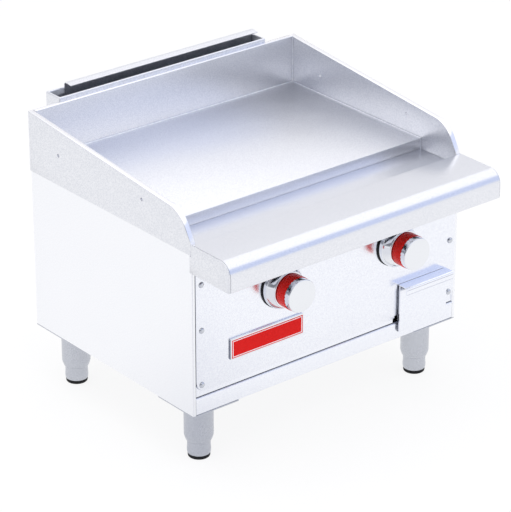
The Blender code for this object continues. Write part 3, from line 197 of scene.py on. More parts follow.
def folded(profile, run, wall, bends, steps=5):
    """Sheet folded along a profile of points and drawn along run. bends holds each fold's outer radius."""
    form = bmesh.new()
    line = [form.verts.new(point) for point in profile]
    edges = [form.edges.new(pair) for pair in zip(line, line[1:])]
    drawn = bmesh.ops.extrude_edge_only(form, edges=edges)
    far = [item for item in drawn["geom"] if isinstance(item, bmesh.types.BMVert)]
    bmesh.ops.translate(form, vec=run, verts=far)
    for number, radius in bends.items():
        corner = Vector(profile[number])
        reach = radius / math.tan(
            (Vector(profile[number - 1]) - corner).angle(Vector(profile[number + 1]) - corner) / 2)
        fold = [
            edge for edge in form.edges
            if len(edge.link_faces) == 2 and min((vert.co - corner).length for vert in edge.verts) < 1e-6]
        bmesh.ops.bevel(
            form, geom=fold, offset=reach, offset_type="OFFSET", segments=steps, profile=0.5,
            affect="EDGES", material=-1)
    bmesh.ops.solidify(form, geom=form.faces[:], thickness=wall)
    return form


def piece(name, form, finish, nodes=(), body="cabinet", smooth=38.0, widest=0.005):
    """The finished form as an object that rides on a body and stands for CAD nodes.

    Faces wider than widest, and those square to an axis, are flat; the narrow ones round a bend are smooth.
    """
    bmesh.ops.recalc_face_normals(form, faces=form.faces[:])
    for face in form.faces:
        width = face.calc_area() / max(edge.calc_length() for edge in face.edges)
        square = max(abs(part) for part in face.normal) > 0.999999
        face.smooth = not (width > widest or (square and widest < 0.01) or len(face.verts) > 12)
    mesh = bpy.data.meshes.new(name)
    form.to_mesh(mesh)
    form.free()
    mesh.materials.append(finish)
    mesh.set_sharp_from_angle(angle=math.radians(smooth))
    made = bpy.data.objects.new(name, mesh)
    scene.collection.objects.link(made)
    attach(made, body)
    if nodes:
        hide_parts(*nodes)
    return made


# Under the soft light this steel is a near-white, faintly speckled skin.
side_steel = satin_sheet("satin_stainless_sides", "#fbfcff", "#f4f5f9", 0.30)
front_lap = {"left": 0.0056, "right": 0.0064}
rear_lap = 0.015
for side, outward in (("left", -1), ("right", 1)):
    low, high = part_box("side_panel_" + side)
    outer = low.x if outward < 0 else high.x
    plan = [
        (outer - outward * front_lap[side], low.y, low.z), (outer, low.y, low.z), (outer, high.y, low.z),
        (outer - outward * rear_lap, high.y, low.z)]
    piece(
        "side_skin_" + side,
        folded(plan, (0, 0, high.z - low.z), -outward * sheet_wall, {1: 0.0016, 2: 0.0025}),
        side_steel, ["side_panel_" + side])

# ---------------------------------------------------------------- back, floor and front rail
# Plain bent sheet of the same steel, spot welded between the sides. The rail is a channel that closes
# the front under the control panel and meets the side sheets at both ends.


def carry_over(finish, *nodes):
    """CAD nodes whose shape is right get their finish."""
    for node in nodes:
        node_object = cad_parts[node]
        node_object.data.materials.clear()
        node_object.data.materials.append(finish)


# The front is polished finer than the sides: cool white, with blurred reflections.
front_steel = satin_sheet("satin_stainless_front", "#f7f9fe", "#eff1f9", 0.20)
carry_over(side_steel, "back_panel", "bottom_panel")
carry_over(front_steel, "front_frame")
rail_low, rail_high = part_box("bottom_rail")
rail_overrun = 0.0009
rail_start = rail_low.x - rail_overrun
rail_profile = [
    (rail_start, rail_high.y, rail_high.z), (rail_start, rail_low.y, rail_high.z),
    (rail_start, rail_low.y, rail_low.z), (rail_start, rail_high.y, rail_low.z)]
rail_run = (rail_high.x - rail_low.x + 2 * rail_overrun, 0, 0)
piece(
    "front_rail", folded(rail_profile, rail_run, -sheet_wall, {1: 0.002, 2: 0.002}),
    front_steel, ["bottom_rail"])

# ---------------------------------------------------------------- griddle plate
# A slab of steel an inch thick, ground and polished. It is welded to the splashes round three sides,
# and the dressed welds show as thin bright lines, up the back corners and down the trough's ends too.

# The grinding leaves a grey, softly blurred shine.
plate_steel = satin_sheet("polished_plate_steel", "#f8f9fd", "#e6e7ed", 0.38, 0.001)
plate_low, plate_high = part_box("griddle_plate")


def block(low, high):
    """A box between two opposite corners."""
    form = bmesh.new()
    bmesh.ops.create_cube(form, size=1.0)
    bmesh.ops.scale(form, vec=Vector(high) - Vector(low), verts=form.verts)
    bmesh.ops.translate(form, vec=(Vector(low) + Vector(high)) / 2, verts=form.verts)
    return form


def soften(form, width, steps=2, least=35.0):
    """Breaks every sharp edge by a small round."""
    sharp = [
        edge for edge in form.edges
        if len(edge.link_faces) == 2 and edge.calc_face_angle(0.0) > math.radians(least)]
    bmesh.ops.bevel(
        form, geom=sharp, offset=width, offset_type="OFFSET", segments=steps, profile=0.5,
        affect="EDGES", material=-1, clamp_overlap=True)
    return form


piece("plate", soften(block(plate_low, plate_high), 0.0012), plate_steel, ["griddle_plate"])

# Dressed by hand, a weld is duller and coarser than the sheet beside it.
weld_steel = satin_sheet("dressed_weld", "#f4f6fb", "#e6e9f2", 0.40, 0.003)
bead_leg = 0.0015
bead_section = [(0.0, 0.0), (1.0, 0.0), (0.62, 0.08), (0.30, 0.30), (0.08, 0.62), (0.0, 1.0)]
bead_form = bmesh.new()
trough_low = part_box("grease_trough")[0]
trough_floor = trough_low.z + sheet_wall
back_run = (plate_high.x - plate_low.x, 0, 0)
side_run = (0, plate_high.y - plate_low.y, 0)
corner_run = (0, 0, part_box("splash_back")[1].z - plate_high.z)
step_run = (0, 0, plate_high.z - trough_floor)
trough_run = (0, plate_low.y - trough_low.y, 0)
for corner, out, up, run in (
        ((plate_low.x, plate_high.y, plate_high.z), (0, -1, 0), (0, 0, 1), back_run),
        ((plate_low.x, plate_low.y, plate_high.z), (1, 0, 0), (0, 0, 1), side_run),
        ((plate_high.x, plate_low.y, plate_high.z), (-1, 0, 0), (0, 0, 1), side_run),
        ((plate_low.x, plate_high.y, plate_high.z), (1, 0, 0), (0, -1, 0), corner_run),
        ((plate_high.x, plate_high.y, plate_high.z), (-1, 0, 0), (0, -1, 0), corner_run),
        ((plate_low.x, plate_low.y, trough_floor), (1, 0, 0), (0, -1, 0), step_run),
        ((plate_high.x, plate_low.y, trough_floor), (-1, 0, 0), (0, -1, 0), step_run),
        ((plate_low.x, trough_low.y, trough_floor), (1, 0, 0), (0, 0, 1), trough_run),
        ((plate_high.x, trough_low.y, trough_floor), (-1, 0, 0), (0, 0, 1), trough_run)):
    ring = [
        bead_form.verts.new(Vector(corner) + bead_leg * reach * Vector(out) + bead_leg * rise * Vector(up))
        for reach, rise in bead_section]
    drawn = bmesh.ops.extrude_face_region(bead_form, geom=[bead_form.faces.new(ring)])
    moved = [item for item in drawn["geom"] if isinstance(item, bmesh.types.BMVert)]
    bmesh.ops.translate(bead_form, vec=run, verts=moved)
piece("plate_weld", bead_form, weld_steel)

# ---------------------------------------------------------------- splash guards
# Three upstands of folded sheet, double at the top where the hem turns over. The side guards slope
# down to the front, round a broad corner, and their outer skin runs on to close the shelf's ends.

# A coarser satin than the cabinet's: light grey, with only broad reflections.
splash_steel = satin_sheet("satin_stainless_splash", "#f2f3f7", "#e0e2e8", 0.36, 0.001)
seam_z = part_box("splash_back")[0].z
cabinet_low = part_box("side_panel_left")[0]
front_y, base_z = cabinet_low.y, cabinet_low.z


def rounded_outline(corners, radii, across, steps=10):
    """A flat face at one place across, from (depth, height) corners, some of them rounded."""
    form = bmesh.new()
    ring = [form.verts.new((across, depth, height)) for depth, height in corners]
    form.faces.new(ring)
    for number, radius in radii.items():
        corner = Vector((across, *corners[number]))
        before = Vector((across, *corners[number - 1])) - corner
        after = Vector((across, *corners[(number + 1) % len(corners)])) - corner
        found = min(form.verts, key=lambda vert: (vert.co - corner).length)
        bmesh.ops.bevel(
            form, geom=[found], offset=radius / math.tan(before.angle(after) / 2), offset_type="OFFSET",
            segments=steps, profile=0.5, affect="VERTICES", material=-1)
    return form


def drilled(form, places, radius, across, cuts=()):
    """Round holes straight through a slab. cuts are (point, direction) planes that part its faces first."""
    across = Vector(across)
    turn = Vector((0, 0, 1)).rotation_difference(across).to_matrix().to_4x4()
    flat = [axis for axis in range(3) if abs(across[axis]) < 0.5]
    for point, facing in cuts:
        bmesh.ops.bisect_plane(
            form, geom=form.verts[:] + form.edges[:] + form.faces[:], dist=1e-6, plane_co=point,
            plane_no=facing)
    form.normal_update()
    for place in places:
        place = Vector(place)
        rim = []
        for face in form.faces[:]:
            if abs(face.normal.dot(across)) < 0.999:
                continue
            offsets = [vert.co - place for vert in face.verts]
            if any(min(off[axis] for off in offsets) > 0 or max(off[axis] for off in offsets) < 0
                   for axis in flat):
                continue
            centre = place + offsets[0].dot(across) * across
            bounds = face.edges[:]
            bmesh.ops.delete(form, geom=[face], context="FACES_ONLY")
            circle = bmesh.ops.create_circle(
                form, segments=40, radius=radius, matrix=Matrix.Translation(centre) @ turn)["verts"]
            edges = list({edge for vert in circle for edge in vert.link_edges})
            rim += edges
            bmesh.ops.triangle_fill(form, edges=bounds + edges, use_beauty=True, use_dissolve=False)
        bmesh.ops.bridge_loops(form, edges=rim)
        form.normal_update()
    return form


def thicken(form, run):
    """Draws a flat face out into a slab."""
    drawn = bmesh.ops.extrude_face_region(form, geom=form.faces[:])
    moved = [item for item in drawn["geom"] if isinstance(item, bmesh.types.BMVert)]
    bmesh.ops.translate(form, vec=run, verts=moved)
    return form


# Rolling smooths the hem. Its upward faces also carry a painted highlight, whiter than the guard, which shows
# as a white line along the top.
hem_steel_with_painted_highlight = satin_sheet("rolled_hem_painted_highlight", "#ffffff", "#fafaff", 0.22)


def give_painted_top_highlight(guard):
    """Gives the upward faces along the top of a guard the hem's smoother polish and painted highlight."""
    guard.data.materials.append(hem_steel_with_painted_highlight)
    for face in guard.data.polygons:
        if face.normal.z > 0.3:
            face.material_index = 1


guard_wall = 0.0105
guard_gap = 0.0005
guard_round = 0.050
guard_edge = 0.0011
slope = math.tan(math.radians(5.6))
steep = math.tan(math.radians(59.5))
shelf_z = base_z + 0.325
hole_insets = (0.0892, 0.3303)
between_holes = 0.2
hole_drop = 0.0565
hole_radius = 0.0030
nose_round = 0.025
lip_round = 0.005
cap_lap = 0.004
cap_back = front_y - 0.0002
for side, outward in (("left", -1), ("right", 1)):
    low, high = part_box("splash_" + side)
    outer = low.x if outward < 0 else high.x
    corner_y = (high.z - (high.y - front_y) * slope - shelf_z) / (steep - slope)
    guard = rounded_outline(
        [(high.y, seam_z + guard_gap), (high.y, high.z), (front_y + corner_y, shelf_z + corner_y * steep),
         (front_y, shelf_z), (front_y, seam_z + guard_gap)],
        {2: guard_round}, outer)
    thicken(guard, (-outward * guard_wall, 0, 0))
    soften(guard, guard_edge, 3)
    drilled(
        guard, [(outer, high.y - inset, high.z - hole_drop) for inset in hole_insets], hole_radius, (1, 0, 0),
        [((outer, high.y - between_holes, high.z), (0, 1, 0))])
    give_painted_top_highlight(piece("splash_guard_" + side, guard, splash_steel, ["splash_" + side]))
    cap = rounded_outline(
        [(cap_back, shelf_z), (low.y, shelf_z), (low.y, low.z), (front_y + cap_lap, low.z),
         (front_y + cap_lap, seam_z), (cap_back, seam_z)],
        {1: nose_round, 2: lip_round}, outer)
    thicken(cap, (-outward * sheet_wall, 0, 0))
    soften(cap, 0.0005)
    piece("shelf_cap_" + side, cap, splash_steel)

low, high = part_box("splash_back")
back_guard = soften(block(low, high), guard_edge, 3)
# The back guard's top gets the same painted highlight.
give_painted_top_highlight(piece("splash_guard_back", back_guard, splash_steel, ["splash_back"]))

# ---------------------------------------------------------------- front shelf and grease trough
# The shelf is one sheet with a broad bullnose, turned back under itself. Behind it the trough runs the
# full width in front of the plate and drains to the drawer through a welded spout.

# Polished by use: light grey, with a sharper shine along the nose.
shelf_steel = satin_sheet("satin_stainless_shelf", "#eff0f5", "#e4e6ec", 0.22, 0.001)
shelf_low, shelf_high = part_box("front_shelf")
turn_back = 0.040
shelf_profile = [
    (shelf_low.x, shelf_high.y, seam_z), (shelf_low.x, shelf_high.y, shelf_high.z),
    (shelf_low.x, shelf_low.y, shelf_high.z), (shelf_low.x, shelf_low.y, shelf_low.z),
    (shelf_low.x, shelf_low.y + turn_back, shelf_low.z)]
shelf_bends = {1: 0.002, 2: nose_round, 3: lip_round}
shelf_form = folded(shelf_profile, (shelf_high.x - shelf_low.x, 0, 0), -sheet_wall, shelf_bends, 12)
piece("shelf", shelf_form, shelf_steel, ["front_shelf"])
carry_over(shelf_steel, "grease_trough")

# ---------------------------------------------------------------- control panel
# A flat stainless sheet with short returns and rounded lower corners, cut out at the bottom right for
# the drawer, with a small relief beside the cut. It is screwed on over the inner frame.
panel_low, panel_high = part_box("control_panel")
panel_form = bmesh.new()
panel_side, panel_foot, panel_round = 0.2975, 0.0436, 0.020
bay_left, bay_right, bay_top = 0.164, 0.274, 0.0991
relief_left, relief_top = 0.1545, 0.0485


def corner_arc(x, z, radius, start):
    """Twelve steps of a quarter circle round (x, z), from a start angle in degrees."""
    turns = [math.radians(start + 7.5 * step) for step in range(13)]
    return [(x + radius * math.cos(turn), z + radius * math.sin(turn)) for turn in turns]


outline = [
    *corner_arc(panel_round - panel_side, panel_foot + panel_round, panel_round, 180),
    (relief_left, panel_foot), (relief_left, relief_top), (bay_left, relief_top), (bay_left, bay_top),
    (bay_right, bay_top), (bay_right, panel_foot),
    *corner_arc(panel_side - panel_round, panel_foot + panel_round, panel_round, 270),
    (panel_side, panel_high.z - base_z), (-panel_side, panel_high.z - base_z)]
ring = [panel_form.verts.new((x, panel_low.y, base_z + z)) for x, z in outline]
panel_form.faces.new(ring)
knob_axes = {side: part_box("knob_" + side) for side in ("left", "right")}
knob_holes = [(low + high) / 2 for low, high in knob_axes.values()]
thicken(panel_form, (0, panel_high.y - panel_low.y, 0))
soften(panel_form, 0.0008)
spindle_hole = 0.012
above_bay, between_knobs, over_bay = 0.115, 0.02, 0.219
panel_cuts = [
    ((0, panel_low.y, base_z + above_bay), (0, 0, 1)), ((between_knobs, panel_low.y, 0), (1, 0, 0)),
    ((over_bay, panel_low.y, 0), (1, 0, 0))]
drilled(panel_form, knob_holes, spindle_hole, (0, 1, 0), panel_cuts)
piece("panel", panel_form, front_steel, ["control_panel"])

# Between the panel and the rail the inner frame lies in shade, painted as thin blue-grey sheets: a line along
# the seam and a plate round the panel's foot. At the right a narrow strip of the frame reaches the side
# sheet.
seam_shade = satin_sheet("shaded_seam", "#b9bfd2", "#adb3c6", 0.5)
# Along the seam a thin blue-grey strip is painted shade.
seam_side, seam_low, seam_high = 0.2979, base_z + 0.0300, base_z + 0.0334
seam_shade_form = block((-seam_side, front_y + 0.0010, seam_low), (seam_side, front_y + 0.0040, seam_high))
piece("rail_seam_painted_shade", seam_shade_form, seam_shade)
# Behind the panel's lower outline a thin blue-grey sheet is painted shade round its foot.
foot_shade_form = bmesh.new()
foot_shade_right, foot_shade_top, foot_shade_drop, foot_shade_wall = 0.154, 0.1, 0.0005, 0.0006
foot_shade_outline = [
    *corner_arc(
        panel_round - panel_side + 0.0001, panel_foot + panel_round - foot_shade_drop, panel_round, 180),
    (foot_shade_right, panel_foot - foot_shade_drop), (foot_shade_right, foot_shade_top),
    (0.0001 - panel_side, foot_shade_top)]
ring = [foot_shade_form.verts.new((x, front_y + foot_shade_wall, base_z + z)) for x, z in foot_shade_outline]
foot_shade_form.faces.new(ring)
thicken(foot_shade_form, (0, foot_shade_wall, 0))
piece("panel_foot_painted_shade", foot_shade_form, seam_shade)
strip_left, strip_low, strip_high = 0.2958, base_z + 0.0336, base_z + 0.0700
strip_form = block((strip_left, front_y + 0.0005, strip_low), (panel_side, front_y + 0.0017, strip_high))
piece("corner_strip", strip_form, front_steel)

# ---------------------------------------------------------------- panel screws
# Six dome-head screws of polished nickel-plated steel hold the panel to the frame behind it, three up
# each side.


def turned(profile, centre, toward, steps=64):
    """Turned form: profile holds (radius, distance along the axis), centre is on the axis."""
    form = bmesh.new()
    line = [form.verts.new((radius, 0.0, along)) for radius, along in profile]
    edges = [form.edges.new(pair) for pair in zip(line, line[1:])]
    bmesh.ops.spin(
        form, geom=line + edges, cent=(0, 0, 0), axis=(0, 0, 1), dvec=(0, 0, 0), angle=2 * math.pi,
        steps=steps, use_merge=True)
    bmesh.ops.remove_doubles(form, verts=form.verts[:], dist=1e-6)
    turn = Vector((0, 0, 1)).rotation_difference(Vector(toward)).to_matrix().to_4x4()
    bmesh.ops.transform(form, matrix=Matrix.Translation(centre) @ turn, verts=form.verts[:])
    bmesh.ops.recalc_face_normals(form, faces=form.faces[:])
    return form


def joined(forms):
    """Several forms as one."""
    whole = bmesh.new()
    for form in forms:
        mesh = bpy.data.meshes.new("part")
        form.to_mesh(mesh)
        form.free()
        whole.from_mesh(mesh)
        bpy.data.meshes.remove(mesh)
    return whole


screw_nodes = ["panel_screw_%d" % number for number in range(1, 7)]
head_radius, head_rise, head_seat = 0.0055, 0.0028, 0.0018
shank_radius, shank_depth = 0.0019, 0.006
dome_angles = [math.pi * step / 14 for step in range(8)]
dome = [(head_radius * math.sin(angle), head_rise * math.cos(angle)) for angle in dome_angles]
shank = [(shank_radius, 0.0), (shank_radius, -shank_depth), (0.0, -shank_depth)]
screws = []
for node in screw_nodes:
    low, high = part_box(node)
    centre = Vector(((low.x + high.x) / 2, front_y - head_seat, (low.z + high.z) / 2))
    screws.append(turned(dome + shank, centre, (0, -1, 0), 24))
# Nickel is a little darker and softer than the chrome of the knobs.
screw_nickel = satin_sheet("nickel_screw_head", "#d3d6dd", "#c3c6cd", 0.14)
piece("dome_screws", joined(screws), screw_nickel, screw_nodes, widest=1.0)

# ---------------------------------------------------------------- knobs
# A chrome knob turns inside a chrome bezel on a black gasket. Its grip carries a red plastic ring, and
# the cap in front ends in small teeth over it, with a flat polished face.

# Chrome is almost a mirror, broken by a faint haze.
bright_metal = bpy.data.materials.new("polished_chrome")
bright_metal.use_nodes = True
chrome_tree = bright_metal.node_tree
chrome_shader = chrome_tree.nodes["Principled BSDF"]
chrome_shader.inputs["Base Color"].default_value = linear("#eceef2")
chrome_shader.inputs["Metallic"].default_value = 1.0
chrome_where = add_node(chrome_tree, "ShaderNodeTexCoord", {})
chrome_wave = add_node(
    chrome_tree, "ShaderNodeTexNoise",
    {"Vector": chrome_where.outputs["Object"], "Scale": 60.0, "Detail": 2.0})
chrome_haze = add_node(
    chrome_tree, "ShaderNodeMapRange", {0: chrome_wave.outputs["Fac"], 1: 0.3, 2: 0.7, 3: 0.05, 4: 0.10})
chrome_tree.links.new(chrome_haze.outputs[0], chrome_shader.inputs["Roughness"])


def grained(name, first, second, grains, detail, roughness, specular, span=(0.0, 1.0)):
    """A plastic, rubber or enamel whose colour wanders between two close tones, grains to the metre."""
    material = bpy.data.materials.new(name)
    material.use_nodes = True
    tree = material.node_tree
    shader = tree.nodes["Principled BSDF"]
    where = add_node(tree, "ShaderNodeTexCoord", {})
    grain = add_node(
        tree, "ShaderNodeTexNoise", {"Vector": where.outputs["Object"], "Scale": grains, "Detail": detail})
    tone = add_node(tree, "ShaderNodeValToRGB", {"Fac": grain.outputs["Fac"]})
    for stop, place, code in zip(tone.color_ramp.elements, span, (first, second)):
        stop.position = place
        stop.color = linear(code)
    tree.links.new(tone.outputs["Color"], shader.inputs["Base Color"])
    shader.inputs["Roughness"].default_value = roughness
    shader.inputs["Specular IOR Level"].default_value = specular
    return material


# The ring is a saturated red with a soft shine, and the rubber is nearly black and dull.
red_ring = grained("glossy_red_moulding", "#e01b12", "#ea2118", 900.0, 2.0, 0.38, 0.22, (0.3, 0.7))
gasket_rubber = grained("black_gasket_rubber", "#101012", "#232427", 700.0, 3.0, 0.6, 0.2)
cap_teeth, tooth_depth, tooth_line, cap_side = 30, 0.0014, 0.0500, 0.0299


def scalloped(form, centre, depth, edge):
    """Draws the rear edge of a turned cap forward between its teeth. edge is how far out it may lie."""
    for vert in form.verts:
        across = Vector((vert.co.x - centre.x, vert.co.z - centre.z))
        if across.length > cap_side and centre.y - vert.co.y < edge:
            vert.co.y -= depth * (0.5 - 0.5 * math.cos(cap_teeth * math.atan2(across.y, across.x)))
    return form


# Each profile holds (radius, distance in front of the cabinet).
gasket_profile = [
    (0.0357, 0.0018), (0.0357, 0.0083), (0.0388, 0.0083), (0.0388, 0.0052), (0.0412, 0.0052),
    (0.0416, 0.0049), (0.0417, 0.0045), (0.0417, 0.0018), (0.0357, 0.0018)]
bezel_profile = [
    (0.0280, 0.0275), (0.0322, 0.0275), (0.0330, 0.0272), (0.0335, 0.0265), (0.0336, 0.0256),
    (0.0331, 0.0252), (0.0336, 0.0248), (0.0345, 0.0240), (0.0393, 0.0142), (0.0397, 0.0134),
    (0.0393, 0.0130), (0.0401, 0.0127), (0.0407, 0.0120), (0.0408, 0.0110), (0.0408, 0.0055),
    (0.0393, 0.0055), (0.0393, 0.0112), (0.0378, 0.0140), (0.0326, 0.0240), (0.0305, 0.0260),
    (0.0280, 0.0260), (0.0280, 0.0275)]
cap_profile = [
    (0.0, 0.0607), (0.0288, 0.0607), (0.0295, 0.0604), (0.0300, 0.0597), (0.0302, 0.0588),
    (0.0303, 0.0578), (0.0303, 0.0560), (0.0303, 0.0493), (0.0260, 0.0493), (0.0260, 0.0285),
    (0.0043, 0.0285), (0.0043, 0.0488), (0.0, 0.0488)]
grip_profile = [
    (0.0263, 0.0490), (0.0305, 0.0490), (0.0309, 0.0488), (0.0310, 0.0484), (0.0310, 0.0476),
    (0.0310, 0.0468), (0.0310, 0.0295), (0.0308, 0.0290), (0.0303, 0.0288), (0.0263, 0.0288),
    (0.0263, 0.0490)]
for side, (low, high) in knob_axes.items():
    body = "knob_%s_turning" % side
    axis = Vector(((low.x + high.x) / 2, front_y, (low.z + high.z) / 2))
    gasket = turned(gasket_profile, axis, (0, -1, 0))
    piece("gasket_" + side, gasket, gasket_rubber, ["knob_gasket_" + side], widest=1.0)
    bezel = turned(bezel_profile, axis, (0, -1, 0), 96)
    piece("bezel_" + side, bezel, bright_metal, ["knob_bezel_" + side], smooth=45, widest=1.0)
    cap = scalloped(turned(cap_profile, axis, (0, -1, 0), 192), axis, tooth_depth, tooth_line)
    piece("knob_cap_" + side, cap, bright_metal, ["knob_" + side], body, smooth=45, widest=1.0)
    grip = turned(grip_profile, axis, (0, -1, 0), 192)
    piece("knob_grip_" + side, grip, red_ring, ["knob_ring_" + side], body, smooth=45, widest=1.0)

# ---------------------------------------------------------------- nameplate
# A plate on the panel with a steel rim, a red enamelled field and a white line round it between two red
# ones. The field is bare.

# Both enamels are fired smooth, but have only a dull shine under the broad lights.
red_enamel = grained("red_enamel_field", "#e0120f", "#ea1a15", 420.0, 2.0, 0.5, 0.12)
white_enamel = grained("white_enamel_line", "#fbf0f0", "#fffafa", 900.0, 1.0, 0.4, 0.5)
low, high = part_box("nameplate")
rim_form = block((low.x, low.y + 0.0003, low.z), high)
rim_round, rim_width, field_depth = 0.003, 0.0031, 0.0009
corners = [edge for edge in rim_form.edges if abs((edge.verts[0].co - edge.verts[1].co).y) > 0.003]
bmesh.ops.bevel(
    rim_form, geom=corners, offset=rim_round, offset_type="OFFSET", segments=5, profile=0.5, affect="EDGES",
    material=-1)
soften(rim_form, 0.0006, 2, 60.0)
field_form = block(
    (low.x + rim_width, low.y, low.z + rim_width),
    (high.x - rim_width, low.y + field_depth, high.z - rim_width))
face = min(field_form.faces, key=lambda item: item.calc_center_median().y)
for item in field_form.faces:
    item.material_index = 1
red_slot, white_slot, shade_slot = 1, 2, 3
for width, index in ((0.0016, red_slot), (0.0015, white_slot), (0.0006, red_slot)):
    made = bmesh.ops.inset_region(
        field_form, faces=[face], thickness=width, depth=0.0, use_even_offset=True)
    for item in made["faces"]:
        item.material_index = index
badge = piece("badge", joined([rim_form, field_form]), bright_metal, ["nameplate"])
badge.data.materials.append(red_enamel)
badge.data.materials.append(white_enamel)
# Thin edges that face the dark end of the room carry a painted shade, a dull mid grey.
edge_shade = satin_sheet("shaded_edge", "#83868f", "#777a83", 0.5)
badge.data.materials.append(edge_shade)
# The rim's faces that look towards -X get the painted shade.
for face in badge.data.polygons:
    if face.normal.x < -0.9 and face.material_index == 0:
        face.material_index = shade_slot

# ---------------------------------------------------------------- grease drawer
# A stainless front whose top edge is folded forward and down for the fingers, on a plain tray that
# slides in a folded guide. Thin blue-grey strips along the fold and under its lip are painted shade.
low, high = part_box("drawer_front")
pan_front, pan_back, shade_y = high.y - sheet_wall, high.y + 0.0035, high.y + 0.0012
pan_top = high.z - 0.0008
pan_round = 0.009
lip_drop = 0.0133
pan = bmesh.new()
ring = [
    pan.verts.new((x, pan_front, z))
    for x, z in ((low.x, low.z), (high.x, low.z), (high.x, pan_top), (low.x, pan_top))]
pan.faces.new(ring)
bmesh.ops.bevel(
    pan, geom=ring[:2], offset=pan_round, offset_type="OFFSET", segments=8, profile=0.5,
    affect="VERTICES", material=-1)
thicken(pan, (0, pan_back - pan_front, 0))
bmesh.ops.bisect_plane(
    pan, geom=pan.verts[:] + pan.edges[:] + pan.faces[:], dist=1e-6, plane_co=(0, shade_y, 0),
    plane_no=(0, 1, 0))
bmesh.ops.recalc_face_normals(pan, faces=pan.faces[:])
rear = max(pan.faces, key=lambda item: item.calc_area() * item.normal.y)
bmesh.ops.inset_region(pan, faces=[rear], thickness=sheet_wall, depth=0.0, use_even_offset=True)
bmesh.ops.translate(pan, vec=(0, pan_front + sheet_wall - pan_back, 0), verts=rear.verts[:])
soften(pan, 0.0004, 2, 60.0)
handle = folded(
    [(low.x, pan_back, high.z), (low.x, low.y, high.z), (low.x, low.y, high.z - lip_drop)],
    (high.x - low.x, 0, 0), -sheet_wall, {1: 0.003}, 8)
drawer_face = piece(
    "drawer_face", joined([pan, handle]), front_steel, ["drawer_front"], "drawer",
    widest=0.0035)
# The rear of the tray's left side, behind shade_y, is painted in the dull grey shade of the badge's edges.
drawer_face.data.materials.append(edge_shade)
for face in drawer_face.data.polygons:
    if face.normal.x < -0.9 and face.center.y > shade_y:
        face.material_index = 1
# Two thin blue-grey strips are painted shade, one along the fold's front bend and one under the lip.
fold_shade_inset = 0.001
fold_shade = joined([
    block((low.x + fold_shade_inset, low.y - 0.0001, high.z - 0.0056),
          (high.x - fold_shade_inset, low.y + 0.0008, high.z - 0.0048)),
    block((low.x + fold_shade_inset, low.y + 0.0002, high.z - 0.0141),
          (high.x - fold_shade_inset, low.y + 0.0012, high.z - 0.0134))])
piece("handle_fold_painted_shade", fold_shade, seam_shade, body="drawer")
carry_over(front_steel, "drawer_tray", "drawer_guide")

# ---------------------------------------------------------------- flue
# A tall sheet-steel duct on the back, hemmed round its mouth and dark with heat inside. A bent sheet
# along its rear wall leans over the mouth and turns the hot gases forward.

# The lining is matt and patchy, and reads nearly black in the depth of the duct.
duct_steel = bpy.data.materials.new("sooted_duct_lining")
duct_steel.use_nodes = True
duct_tree = duct_steel.node_tree
duct_shader = duct_tree.nodes["Principled BSDF"]
duct_where = add_node(duct_tree, "ShaderNodeTexCoord", {})
duct_soot = add_node(
    duct_tree, "ShaderNodeTexNoise", {"Vector": duct_where.outputs["Object"], "Scale": 45.0, "Detail": 4.0})
duct_tone = blended(
    duct_tree, ramped(duct_tree, duct_soot.outputs["Fac"], 0.35, 0.65), linear("#a9acb5"), linear("#c3c6ce"))
duct_tree.links.new(duct_tone, duct_shader.inputs["Base Color"])
duct_shader.inputs["Roughness"].default_value = 0.8
low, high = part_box("flue_riser")
riser = block(low, high)
crown = max(riser.faces, key=lambda item: item.calc_center_median().z)
bmesh.ops.delete(riser, geom=[crown], context="FACES_ONLY")
corners = [edge for edge in riser.edges if abs(edge.verts[0].co.z - edge.verts[1].co.z) > 0.1]
bmesh.ops.bevel(
    riser, geom=corners, offset=0.002, offset_type="OFFSET", segments=4, profile=0.5, affect="EDGES",
    material=-1)
centre = (low + high) / 2
half = (high - low) / 2
hem = 0.0047
hem_depth = 0.012
riser_wall = 0.0011
rim = [edge for edge in riser.edges if edge.is_boundary]
bmesh.ops.translate(
    riser, vec=(0, 0, -hem / 2), verts=list({vert for edge in rim for vert in edge.verts}))
inset, rise = 0.0, -hem / 2
# Eight steps roll the hem over, and the ninth turns its end down inside the duct.
for step in range(1, 10):
    drawn = bmesh.ops.extrude_edge_only(riser, edges=rim)
    moved = [item for item in drawn["geom"] if isinstance(item, bmesh.types.BMVert)]
    rim = [item for item in drawn["geom"] if isinstance(item, bmesh.types.BMEdge)]
    angle = math.pi * min(step, 8) / 8
    next_inset = hem / 2 * (1 - math.cos(angle))
    next_rise = hem / 2 * (math.sin(angle) - 1) if step < 9 else -hem_depth
    bmesh.ops.transform(
        riser, verts=moved, matrix=Matrix.Diagonal((
            (half.x - next_inset) / (half.x - inset), (half.y - next_inset) / (half.y - inset), 1.0, 1.0)),
        space=Matrix.Translation((-centre.x, -centre.y, 0)))
    bmesh.ops.translate(riser, vec=(0, 0, next_rise - rise), verts=moved)
    inset, rise = next_inset, next_rise
bmesh.ops.recalc_face_normals(riser, faces=riser.faces[:])
bmesh.ops.solidify(riser, geom=riser.faces[:], thickness=riser_wall)
riser_piece = piece("flue_duct", riser, splash_steel, ["flue_riser"])
riser_piece.data.materials.append(duct_steel)
lining_inset = 0.0008
lining_top = high.z - hem / 2 - 0.0002
for polygon in riser_piece.data.polygons:
    offset = polygon.center - centre
    within = abs(offset.x) < half.x - lining_inset and abs(offset.y) < half.y - lining_inset
    if within and polygon.center.z < lining_top:
        polygon.material_index = 1

low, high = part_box("flue_deflector")
visor_profile = [
    (low.x, high.y, low.z), (low.x, high.y, high.z), (low.x, (low.y + high.y) / 2, high.z),
    (low.x, low.y, high.z - 0.002)]
piece(
    "flue_visor", folded(visor_profile, (high.x - low.x, 0, 0), -sheet_wall, {1: 0.006, 2: 0.008}, 8),
    splash_steel, ["flue_deflector"])

# ---------------------------------------------------------------- legs and feet
# Each leg is a satin plated steel tube on a square plate bolted under the cabinet. A slimmer foot
# screws up into it and stands on a black pad.

